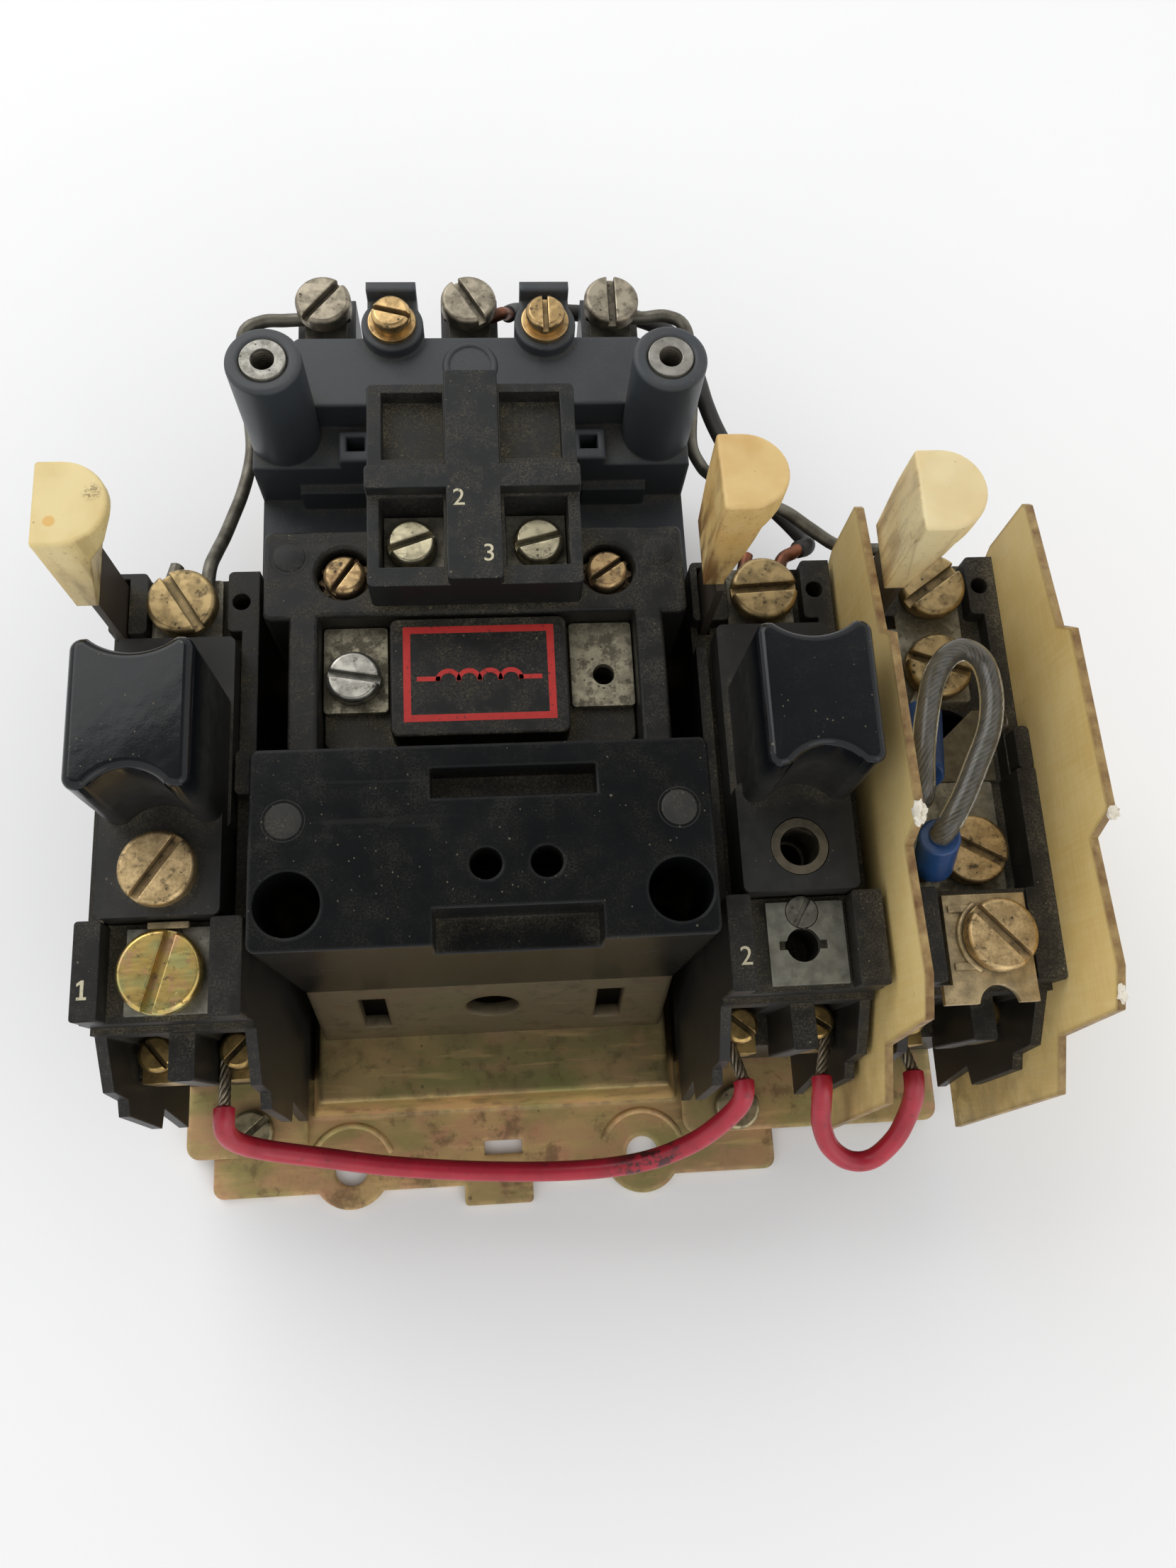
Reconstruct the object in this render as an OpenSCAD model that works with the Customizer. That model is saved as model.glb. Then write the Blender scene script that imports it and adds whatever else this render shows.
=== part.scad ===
// Panel-mounted motor starter lying on its back: a solenoid contactor with an auxiliary contact
// and three melting-alloy overload relays on one stamped plate.
// +Z points out of the panel and +Y to the line side. The origin is midway between the two lower
// mounting holes, on the back of the plate. All other places are measured from the contactor's
// datum, which is the rear edge of the front block.

/* [Base plate] */
// Sheet thickness of the base plate and the foot plates
plate_t = 1.5; // [1:0.1:2.5]
// Half of the plate's width
plate_hw = 51; // [48:0.5:56]
// Front edge of the plate, ahead of the datum
plate_front = 59; // [57:0.5:64]
// Rear end of the plate's top tab, behind the datum
plate_rear = 99; // [97:0.5:106]
// Mounting hole diameter
mount_d = 5.9; // [4.5:0.1:6.5]
// Distance between the two lower mounting holes
mount_dx = 53; // [48:0.5:58]
// Lower mounting holes, ahead of the datum
mount_front = 55; // [53:0.5:56]
// Upper mounting hole, behind the datum
mount_rear = 92; // [91.5:0.5:93]
// Radius of the lobe round a mounting hole
lobe_r = 7; // [5.5:0.5:8]
// Width of the front tab
tab_w = 12.4; // [8:0.2:18]
// Height of the raised pan's top above the back of the plate
pan_h = 10; // [7:0.5:12]
// How far the pan's foot reaches in under the relays
pan_under = 0.7; // [0:0.1:0.7]
// Foot of the pan's front wall, ahead of the datum
pan_front = 46; // [42:0.5:47]
// Run of the pan's sloping walls
pan_slope = 2.6; // [1:0.2:4]

/* [Magnet bracket] */
// Sheet thickness of the magnet bracket
brk_t = 2; // [1.5:0.1:2.5]
// Half width of the bracket
brk_hw = 30; // [28:0.5:31]
// Foot of the bracket's slanted front wall, ahead of the datum
brk_foot = 32.6; // [31:0.2:36]

/* [Front block] */
// Half width of the front block
fb_hw = 30.5; // [30:0.1:31]
// Length of the front block
fb_l = 26.9; // [26.5:0.1:30]
// Height of the front block's face above the back of the plate
fb_z = 79.5; // [75:0.5:84]
// Height of the front block's lower edge
fb_foot_z = 35; // [34:0.5:38]
// Diameter of the two screw wells
well_d = 8.5; // [7:0.1:9]
// Half the distance between the screw wells
well_x = 25.5; // [25:0.1:26]
// Screw wells, ahead of the datum
well_y = 20.8; // [19.5:0.1:21.5]
// Width of the rectangular slot and of the notch
slot_w = 22; // [16:0.5:24]
// Middle of the slot and of the notch, right of the centre line
slot_x = 4.1; // [2:0.1:5]
// Depth of the slot
slot_depth = 5; // [3:0.5:8]
// Depth of the notch below the face
notch_depth = 8; // [4:0.5:10]
// Diameter of the two small holes
small_d = 4.2; // [3:0.1:5]

/* [Contactor body] */
// Half width of the body behind the coil
body_hw = 31; // [30:0.2:32]
// Half width of the body beside the coil
cheek_hw = 27.3; // [26:0.1:28]
// Height of the body's face
body_z = 70; // [69:0.2:72]
// Rear end of the body, behind the datum
body_rear = 36.8; // [36.4:0.1:37]
// Half width of the coil pocket
pocket_hw = 23; // [22.8:0.1:24]
// Rear wall of the coil pocket, behind the datum
pocket_rear = 23; // [22.9:0.1:23.4]

/* [Coil] */
// Clearance between the coil and its pocket
coil_gap = 0.2; // [0.1:0.05:0.4]
// Front end of the coil, behind the datum
coil_front = 4.4; // [3:0.2:5]
// Half width of the raised label face
label_hw = 12.8; // [11:0.2:13.2]
// Height of the coil's shoulders, where the terminals lie
shoulder_z = 64.8; // [63:0.2:66]
// Half the distance between the coil terminals
coil_term_x = 18.3; // [17.8:0.1:18.6]
// Coil terminals, behind the datum
coil_term_y = 14.5; // [13:0.1:16]
// Thickness of a terminal plate
tplate_t = 1.2; // [0.8:0.1:1.4]

/* [Arc chamber] */
// Half width of the arc chamber
arc_hw = 35; // [34.5:0.1:36]
// Rear end of the arc chamber, behind the datum
arc_rear = 84; // [83:0.2:85]
// Height of the chamber's front deck
deck_z = 66; // [64:0.5:68]
// Height of the upper ledge
ledge_z = 60; // [58.5:0.5:61]
// Height of the lower ledge
low_ledge_z = 50; // [49:0.5:54]
// Height of a post
post_z = 80; // [77:0.5:84]
// Diameter of a post
post_d = 11.2; // [10:0.1:12]
// Half the distance between the posts
post_x = 29.8; // [29.4:0.1:30]
// Posts, behind the datum
post_y = 59; // [58.5:0.1:60]
// Diameter of a post's threaded insert
insert_d = 6.8; // [5.5:0.1:7.4]
// Threaded bore of an insert
insert_bore_d = 3.4; // [2.5:0.1:4]
// Distance between neighbouring poles
pole_dx = 23.5; // [22.5:0.1:24]
// Height of a terminal pad
pad_z = 59; // [57:0.2:60]
// Width of a terminal pad
pad_w = 9.4; // [8.6:0.1:10]
// Half the distance between the towers' screws
tower_x = 12.1; // [11.8:0.1:12.4]

/* [Contacts and magnet] */
// Travel of the contact carrier
carrier_travel = 5; // [3:0.1:5.2]
// Gap between the open contacts
contact_gap = 5.4; // [5.3:0.1:6]
// Thickness of the magnet's stack
stack_t = 13; // [10:0.5:13.4]
// Height of the middle of the stack
stack_z = 48; // [47.5:0.1:48.2]
// Width of the magnet's middle leg
leg_w = 10; // [8:0.2:10.4]
// Half width of the magnet
magnet_hw = 20.5; // [19.5:0.1:20.6]

/* [Auxiliary block] */
// Half width of the auxiliary block
aux_hw = 15.2; // [15:0.1:15.6]
// Front end of the auxiliary block, behind the datum
aux_front = 23.8; // [23.4:0.1:24.4]
// Rear end of the auxiliary block, behind the datum
aux_rear = 56.2; // [55:0.1:56.4]
// Height of the block's frame
aux_z = 78; // [76.5:0.5:79]
// Height of the block's cross bar above its frame
aux_bar_h = 2; // [0.5:0.1:3]
// Width of the middle bar
aux_bar_w = 7.8; // [6.5:0.1:8.2]

/* [Overload relays] */
// Width of a relay
ol_w = 22.2; // [21.8:0.1:22.4]
// Gap between the contactor and the left relay
left_gap = 2; // [1.4:0.1:4]
// Gap between the contactor and the centre relay
mid_gap = 2.2; // [1.6:0.1:4]
// Gap between the centre and right relays, which holds the inner barrier
relay_gap = 4.5; // [3.8:0.1:6]
// Rear end of a relay, behind the datum
ol_rear = 34.3; // [34:0.1:35]
// Height of a relay's deck
ol_deck = 58.8; // [57.5:0.1:59.2]
// Height of the rims above the deck
rim_h = 3.2; // [2.4:0.1:4]
// Line screw, behind the datum
line_y = 28.7; // [28.4:0.1:29]
// Upper heater screw, behind the datum
heat_up_y = 15.8; // [15:0.1:16.5]
// Lower heater screw, ahead of the datum
heat_low_y = 13.5; // [13:0.1:14]
// Load screw, ahead of the datum
load_y = 27; // [26.6:0.1:27.4]
// Height of the load shelf's face
load_z = 69; // [68:0.2:70]
// Front end of the load shelf, ahead of the datum
load_front = 33.4; // [33:0.1:34]
// Height of the control terminals' floor
ctl_z = 41; // [40:0.5:43]
// Half the distance between a relay's control screws
ctl_x = 6; // [5.95:0.05:6.05]
// Control screws, ahead of the datum
ctl_y = 36.1; // [35.8:0.1:36.6]

/* [Reset levers] */
// Height of a lever's top
lever_z = 93; // [90:0.5:96]
// Width of a lever's head across its flat
lever_w = 9.4; // [8.5:0.1:10]
// Length of a lever's flat
lever_l = 12; // [10.5:0.1:12.4]
// Thickness of a lever's blade
blade_t = 3; // [2.5:0.1:3.2]
// Travel of a lever
lever_travel = 5; // [3:0.1:5]

/* [Heaters] */
// Height of a heater's cap
cap_z = 88.3; // [84:0.1:90]
// Width of a heater's cap
cap_w = 15.6; // [14.5:0.1:16]
// Height of a heater's foot
foot_z = 69.5; // [68:0.1:70.5]
// Diameter of the eyelet in a heater's foot
eyelet_d = 8.2; // [7.6:0.1:9]

/* [Barriers] */
// Thickness of a barrier sheet
barrier_t = 1.2; // [0.8:0.1:1.6]

/* [Screws] */
// Head diameter of the relays' power screws
power_head_d = 10.4; // [9.6:0.1:10.8]
// Head height of the relays' power screws
power_head_h = 2.5; // [1.8:0.1:3]
// Head diameter of the contactor's terminal screws
pole_head_d = 9; // [8:0.1:9.4]
// Head diameter of the auxiliary terminal screws
aux_head_d = 7.2; // [6.4:0.1:7.8]
// Head diameter of the control screws
ctl_head_d = 5.5; // [5:0.1:5.8]

/* [Leads] */
// Diameter of a power lead
power_d = 2.1; // [1.6:0.1:2.2]
// Diameter of the red control leads
red_d = 3.2; // [2.6:0.1:3.4]
// Diameter of the bare strands at a red lead's end
strand_d = 1.6; // [1.2:0.1:1.7]
// Diameter of the clear jumper
clear_d = 3.4; // [2.8:0.1:3.6]
// Diameter of the sleeved centre lead
centre_d = 2.8; // [2.2:0.1:3]
// Diameter of a crimp sleeve
sleeve_d = 5.8; // [5:0.1:6]

/* [Hidden] */
$fn = 48;
eps = 0.01;
// Running gap between moving and fixed pieces
run = 0.3;
// Gap between a screw's shank and its hole
hole_gap = 0.1;
// Slot of a screw head, as shares of the head
slot_share = 0.13;
slot_deep = 0.55;
// Chamfer on a screw head's rim
head_edge = 0.5;
// Corner radius of moulded blocks
corner_r = 1.2;
sides = [-1, 1];

// Colours
zinc = "#a8904f";
black = "#1c1d1f";
slate = "#2b2e33";
gloss = "#101113";
bronze = "#a5804a";
nickel = "#b9b3a2";
steel = "#8d8a84";
copper = "#b06a3c";
ivory = "#e6d6a6";
brown = "#5a4736";
sheet = "#d8c98c";
red = "#b3142d";
blue = "#2343a8";
clear = "#8f8b80";
tinned = "#77736a";

// Heights that follow from the plate and the bracket
brk_z = pan_h + brk_t;
pole_xs = [-pole_dx, 0, pole_dx];
strap_top = pad_z + tplate_t;
pole_head_z = strap_top + power_d;
ol_hw = ol_w / 2;
contactor_hw = max(body_hw, fb_hw);
ol_left = contactor_hw + left_gap + ol_hw;
ol_mid = contactor_hw + mid_gap + ol_hw;
ol_xs = [-ol_left, ol_mid, ol_mid + ol_w + relay_gap];
pan_hw = contactor_hw + min(left_gap, mid_gap) + pan_under;
relay_plate_z = ol_deck + tplate_t;
line_head_z = relay_plate_z + power_d;
ctl_plate_z = ctl_z + 1;
strand_z = ctl_plate_z + strand_d / 2;
ctl_head_z = ctl_plate_z + strand_d + 0.1;
ctl_front = ctl_y + 5;
load_plate_z = load_z - 3;
pad_rear = arc_rear + 1;
deck_rear = 72.8;

// Moves the datum's coordinates to the part's own origin
module place() {
    translate([0, mount_front, 0]) children();
}

function arc(cx, cy, r, a0, a1, n = 6) =
    [for (i = [0:n]) [cx + r * cos(a0 + (a1 - a0) * i / n), cy + r * sin(a0 + (a1 - a0) * i / n)]];

function rounded(x, y, r) = concat(
    arc(x[1] - r, y[1] - r, r, 0, 90), arc(x[0] + r, y[1] - r, r, 90, 180),
    arc(x[0] + r, y[0] + r, r, 180, 270), arc(x[1] - r, y[0] + r, r, 270, 360));

// Box between two corners, with round upright edges where r is given
module slab(x, y, z, r = 0) {
    translate([0, 0, z[0]]) linear_extrude(z[1] - z[0])
        if (r > 0) polygon(rounded(x, y, r));
        else translate([x[0], y[0]]) square([x[1] - x[0], y[1] - y[0]]);
}

// Profile in Y and Z, extruded along X
module along_x(x, points) {
    translate([x[0], 0, 0]) rotate([90, 0, 90]) linear_extrude(x[1] - x[0]) polygon(points);
}

// Profile in X and Z, extruded along Y
module along_y(y, points) {
    translate([0, y[1], 0]) rotate([90, 0, 0]) linear_extrude(y[1] - y[0]) polygon(points);
}

module bore(at, d, z) {
    translate([at[0], at[1], z[0]]) cylinder(d = d, h = z[1] - z[0]);
}

// Slotted screw whose head starts at the given place, with its shank below
module screw(at, d, h, shank_d, shank_l, turn) {
    edge = min(head_edge, d / 8);
    translate(at) rotate([0, 0, turn]) difference() {
        rotate_extrude() polygon([[0, -shank_l], [shank_d / 2, -shank_l], [shank_d / 2, 0], [d / 2, 0],
            [d / 2, h - edge], [d / 2 - edge, h], [0, h]]);
        translate([-d, -d * slot_share / 2, h * (1 - slot_deep)]) cube([2 * d, d * slot_share, h]);
    }
}

// Tube through a list of points, with its side vector carried from ring to ring
function unit(v) = v / norm(v);
function tangent(p, i) = unit(p[min(i + 1, len(p) - 1)] - p[max(i - 1, 0)]);
function flatten_side(v, t) = unit(v - (v * t) * t);
function first_side(t) = flatten_side(abs(t[2]) < 0.8 ? [0, 0, 1] : [1, 0, 0], t);
function tube_sides(p) = [for (i = 0, s = first_side(tangent(p, 0)); i < len(p);
    i = i + 1, s = i < len(p) ? flatten_side(s, tangent(p, i)) : s) s];

module tube(p, d, n = 8) {
    s = tube_sides(p);
    rings = [for (i = [0:len(p) - 1]) let (t = tangent(p, i), w = cross(t, s[i]))
        each [for (k = [0:n - 1]) p[i] + d / 2 * (cos(360 * k / n) * s[i] + sin(360 * k / n) * w)]];
    last = (len(p) - 1) * n;
    walls = [for (i = [0:len(p) - 2], k = [0:n - 1]) let (a = i * n + k, b = i * n + (k + 1) % n)
        each [[a, a + n, b], [b, a + n, b + n]]];
    caps = [for (k = [1:n - 2]) each [[0, k, k + 1], [last, last + k + 1, last + k]]];
    polyhedron(rings, concat(walls, caps));
}

// Helical spring along Z from z[0] to z[1]
module spring(at, z, d, wire, turns) {
    steps = turns * 8;
    pitch_h = z[1] - z[0] - wire;
    echo(least_gap_between_coils = pitch_h / turns - wire);
    p = [for (i = [0:steps]) [at[0] + (d - wire) / 2 * cos(45 * i), at[1] + (d - wire) / 2 * sin(45 * i),
        z[0] + wire / 2 + pitch_h * i / steps]];
    tube(p, wire, 6);
}

// Base plate
function ramp(low, high, slope, z) = [[low, z[0]], [high, z[0]], [high - slope, z[1]], [low + slope, z[1]]];
pan_rear = arc_rear - 3;

module pan(inset, z) {
    intersection() {
        along_y([-pan_front, pan_rear], ramp(-pan_hw + inset, pan_hw - inset, pan_slope, z));
        along_x([-pan_hw, pan_hw], ramp(-pan_front + inset, pan_rear - inset, pan_slope, z));
    }
}

module plate_outline() {
    neck_hw = pan_hw + 2.6;
    polygon(rounded([-plate_hw, plate_hw], [-plate_front, body_rear], 2));
    polygon(rounded([-neck_hw, neck_hw], [0, pan_rear + 3], 2));
    polygon(rounded([-2 * lobe_r, 2 * lobe_r], [pan_rear, plate_rear], lobe_r - 1));
    polygon(rounded([-tab_w / 2, tab_w / 2], [-plate_front - 3.5, -plate_front + 3], 0.8));
    for (s = sides) translate([s * mount_dx / 2, -mount_front]) circle(lobe_r);
}

module base_plate() color(zinc) place() {
    cut_y = mount_front - 2.4;
    difference() {
        union() {
            linear_extrude(plate_t) plate_outline();
            pan(0, [0, pan_h]);
        }
        pan(plate_t, [-eps, pan_h - plate_t]);
        for (s = sides) bore([s * mount_dx / 2, -mount_front], mount_d, [-1, plate_t + 1]);
        bore([0, mount_rear], mount_d, [-1, plate_t + 1]);
        slab([-2.4, 4.4], [-cut_y - 1.2, -cut_y + 1.2], [-1, plate_t + 1]);
        for (x = foot_screw_xs) bore([x, -foot_screw_y], foot_shank_d + 2 * hole_gap, [-1, plate_t + 1]);
    }
}

// Foot plates of the overload relays
foot_screw_xs = [-ol_left, ol_mid];
foot_screw_y = 47.8;
foot_shank_d = 3.4;
foot_top = 2 * plate_t;
foot_front = 52;

module foot_plate(x, screw_x) {
    difference() {
        slab(x, [-foot_front, ol_rear], [plate_t, foot_top], 2.5);
        bore([screw_x, -foot_screw_y], foot_shank_d + 2 * hole_gap, [0, foot_top + 1]);
    }
}

module overload_foot_left() color(zinc) place()
    foot_plate([ol_xs[0] - ol_hw - 0.4, -pan_hw - 0.5], foot_screw_xs[0]);

module overload_foot_right() color(zinc) place()
    foot_plate([pan_hw + 0.5, ol_xs[2] + ol_hw], foot_screw_xs[1]);

module mounting_screws() color(bronze) place() {
    for (x = foot_screw_xs) screw([x, -foot_screw_y, foot_top], 8.2, 2.2, foot_shank_d, plate_t * 2, 40);
    for (s = sides) screw([s * well_x, -well_y, fb_foot_z + 3], well_d - 1.4, 2.8, 4, 7, 30 * s);
}

// Magnet bracket
brk_top = fb_foot_z;
brk_lean = brk_foot - fb_l + 0.6;

module magnet_bracket() color(zinc) place() {
    top_y = -brk_foot + brk_lean;
    profile = [
        [-brk_foot, pan_h], [pan_rear - 4, pan_h], [pan_rear - 4, brk_z], [-brk_foot + brk_t + 0.6, brk_z],
        [top_y + brk_t, brk_top - brk_t], [-well_y + 6, brk_top - brk_t],
        [-well_y + 6, brk_top], [top_y, brk_top]];
    difference() {
        along_x([-brk_hw, brk_hw], profile);
        slab([-magnet_hw, magnet_hw], [top_y + brk_t + 0.2, 0], [brk_top - brk_t - 1, brk_top + 1]);
        for (s = sides) {
            bore([s * well_x, -well_y], 4 + 2 * hole_gap, [brk_top - brk_t - 1, brk_top + 1]);
            slab([s * 20 - 2.2, s * 20 + 2.2], [-brk_foot, -fb_l + 4], [brk_z + 4, brk_top - 6]);
        }
        translate([0, -fb_l + 4, (brk_z + brk_top) / 2]) rotate([90, 0, 0]) cylinder(d = 9, h = brk_foot);
    }
}

// Front block
fb_room_z = stack_z + stack_t / 2 + 3.2;
fb_wall = 2.4;
slot_xs = [slot_x - slot_w / 2, slot_x + slot_w / 2];

module front_block() color(black) place() {
    difference() {
        slab([-fb_hw, fb_hw], [-fb_l, 0], [fb_foot_z, fb_z], corner_r);
        slab([-magnet_hw - run, magnet_hw + run], [-fb_l + fb_wall, 1], [fb_foot_z - 1, fb_room_z]);
        for (s = sides) {
            bore([s * well_x, -well_y], well_d, [fb_foot_z + 3, fb_z + 1]);
            bore([s * well_x, -well_y], 4 + 2 * hole_gap, [fb_foot_z - 1, fb_z]);
            bore([slot_x + 4 * s, -16.4], small_d, [fb_z - 14, fb_z + 1]);
        }
        slab(slot_xs, [-7.3, -3.3], [fb_z - slot_depth, fb_z + 1]);
        slab(slot_xs, [-fb_l - 1, -fb_l + 4.8], [fb_z - notch_depth, fb_z + 1]);
    }
}

// Contactor body round the coil
channel_hw = 18.5;
channel_top = 29.7;
aux_mount_x = 19.4;
aux_mount_y = 29.8;
aux_mount_z = body_z - 4;
aux_well_d = 8;

module contactor_body() color(black) place() {
    difference() {
        union() {
            slab([-body_hw, body_hw], [pocket_rear - 0.4, body_rear], [brk_z, body_z], corner_r);
            slab([-cheek_hw, cheek_hw], [0, pocket_rear + 3], [brk_z, body_z]);
            slab([-body_hw, body_hw], [0, pocket_rear + 3], [brk_z, fb_foot_z], corner_r);
        }
        slab([-pocket_hw, pocket_hw], [-1, pocket_rear], [channel_top, body_z + 1]);
        slab([-channel_hw, channel_hw], [-1, body_rear + 1], [brk_z - 1, channel_top + eps]);
        slab([-magnet_hw - coil_gap, magnet_hw + coil_gap], [pocket_rear - 1, core_rear],
            [stack_z - stack_t / 2, stack_z + stack_t / 2 + coil_gap]);
        for (s = sides) {
            bore([s * aux_mount_x, aux_mount_y], aux_well_d, [aux_mount_z, body_z + 1]);
            bore([s * aux_mount_x, aux_mount_y], 3 + 2 * hole_gap, [aux_mount_z - 8, body_z]);
        }
    }
}

// Magnet: a fixed core behind the coil and an armature in the front block
core_rear = 34;
core_leg_end = 12;
outer_leg_w = 6;
armature_front = -20;
armature_back = -11;

module magnet_stack(y_bar, y_tip) {
    z = [stack_z - stack_t / 2, stack_z + stack_t / 2];
    slab([-magnet_hw, magnet_hw], [min(y_bar), max(y_bar)], z);
    y_leg = [min(y_tip, y_bar[1]), max(y_tip, y_bar[1])];
    slab([-leg_w / 2, leg_w / 2], y_leg, z);
    for (s = sides) slab(mirror_x([magnet_hw - outer_leg_w, magnet_hw], s), y_leg, z);
}

module magnet_core() color(steel) place()
    magnet_stack([core_rear, core_rear - 9], core_leg_end);

module armature() color(steel) place()
    magnet_stack([armature_front, armature_back], core_leg_end - carrier_travel - run);

// Coil: a moulded bobbin whose waist passes between the magnet's legs
coil_rear = pocket_rear - coil_gap;
label_z = body_z;
waist_hw = magnet_hw - outer_leg_w - run;

module coil() color(black) place() {
    hw = pocket_hw - coil_gap;
    low_flange = stack_z - stack_t / 2 - 3;
    top_flange = stack_z + stack_t / 2 + 3;
    difference() {
        union() {
            slab([-hw, hw], [coil_front, coil_rear], [channel_top, low_flange], corner_r);
            slab([-waist_hw, waist_hw], [coil_front, coil_rear], [low_flange - 1, top_flange + 1]);
            slab([-hw, hw], [coil_front, coil_rear], [top_flange, shoulder_z], corner_r);
            slab([-label_hw, label_hw], [coil_front, coil_rear - 0.4], [top_flange, label_z], corner_r);
        }
        slab([-leg_w / 2 - run, leg_w / 2 + run], [coil_front - 1, coil_rear + 1],
            [stack_z - stack_t / 2 - run, stack_z + stack_t / 2 + run]);
        for (s = sides) bore([s * coil_term_x, coil_term_y], 3.2, [shoulder_z - 5, shoulder_z + 1]);
    }
}

module coil_terminals() color(nickel) place() {
    hw = pocket_hw - coil_gap;
    for (s = sides) difference() {
        slab(s > 0 ? [label_hw + 0.6, hw] : [-hw, -label_hw - 0.6], [coil_term_y - 5, coil_rear],
            [shoulder_z, shoulder_z + tplate_t], 0.6);
        bore([s * coil_term_x, coil_term_y], 3.2, [shoulder_z - 1, body_z]);
    }
}

module coil_screw() color(nickel) place()
    screw([-coil_term_x, coil_term_y, shoulder_z + tplate_t], 7.9, 2.2, 3, 5, -10);

// Contact carrier: rails under the coil, a clamp round the armature and a cross bar in the arc chamber
rail_z = brk_z + run;
rail_top = channel_top - 1.5;
bar_y = [50, 57];
bar_top = 42;
bridge_t = 1.5;
contact_h = 1;
bridge_y = deck_rear + 0.2 - 2 * contact_h - contact_gap - bridge_t;
contact_d = 4.6;
contact_dz = 10;
contact_mid = 30;
fixed_y = bridge_y + bridge_t + contact_h + contact_gap;
strap_y = fixed_y + contact_h;
spring_d = 6;
spring_wire = 0.7;

module turn_y(at) {
    translate(at) rotate([-90, 0, 0]) children();
}

module contact_carrier() color(brown) place() {
    clamp_hw = 12;
    clamp_y = [armature_front - 2.6, armature_front];
    hook = armature_back - 1.4;
    lip = 2.2;
    stack = [stack_z - stack_t / 2, stack_z + stack_t / 2];
    difference() {
        slab([-channel_hw + run, channel_hw - run], [clamp_y[0], bar_y[1]], [rail_z, rail_top]);
        slab([-channel_hw + 6, channel_hw - 6], [coil_front, bar_y[0] - 8], [0, rail_top + 1]);
    }
    slab([-clamp_hw, clamp_hw], clamp_y, [rail_z, stack[1] + lip]);
    for (z = [stack[0] - lip, stack[1]]) slab([-clamp_hw, clamp_hw], [clamp_y[1] - 1, hook], [z, z + lip]);
    slab([-arc_hw + 5.5, arc_hw - 5.5], bar_y, [rail_z, bar_top]);
    for (x = pole_xs) turn_y([x, bar_y[1], contact_mid]) {
        cylinder(d = 2.6, h = bridge_y - bar_y[1] + bridge_t + 2);
        cylinder(d = 4.2, h = 1.2);
        translate([0, 0, bridge_y - bar_y[1] + bridge_t]) cylinder(d = 5, h = 1);
    }
}

module contact_bridges() color(copper) place() {
    for (x = pole_xs) difference() {
        union() {
            slab([x - 3.4, x + 3.4], [bridge_y, bridge_y + bridge_t],
                [contact_mid - contact_dz - 3, contact_mid + contact_dz + 3]);
            for (s = sides) turn_y([x, bridge_y + bridge_t - 0.5, contact_mid + s * contact_dz])
                cylinder(d = contact_d, h = contact_h + 0.5);
        }
        turn_y([x, bridge_y - 1, contact_mid]) cylinder(d = 2.6 + 2 * hole_gap, h = bridge_t + 2);
    }
}

module contact_springs() color(steel) place() {
    for (x = pole_xs) turn_y([x, bar_y[1], contact_mid])
        spring([0, 0], [0.05, bridge_y - bar_y[1] - 0.05], spring_d, spring_wire, 4);
}

// Arc chamber
tower_y = 73.8;
tower_d = 9.8;
tower_hw = 3.9;
tower_z = 68;
tower_rear = 79.8;
roof_z = 46;
end_wall = 7;
line_z = 31;

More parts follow.
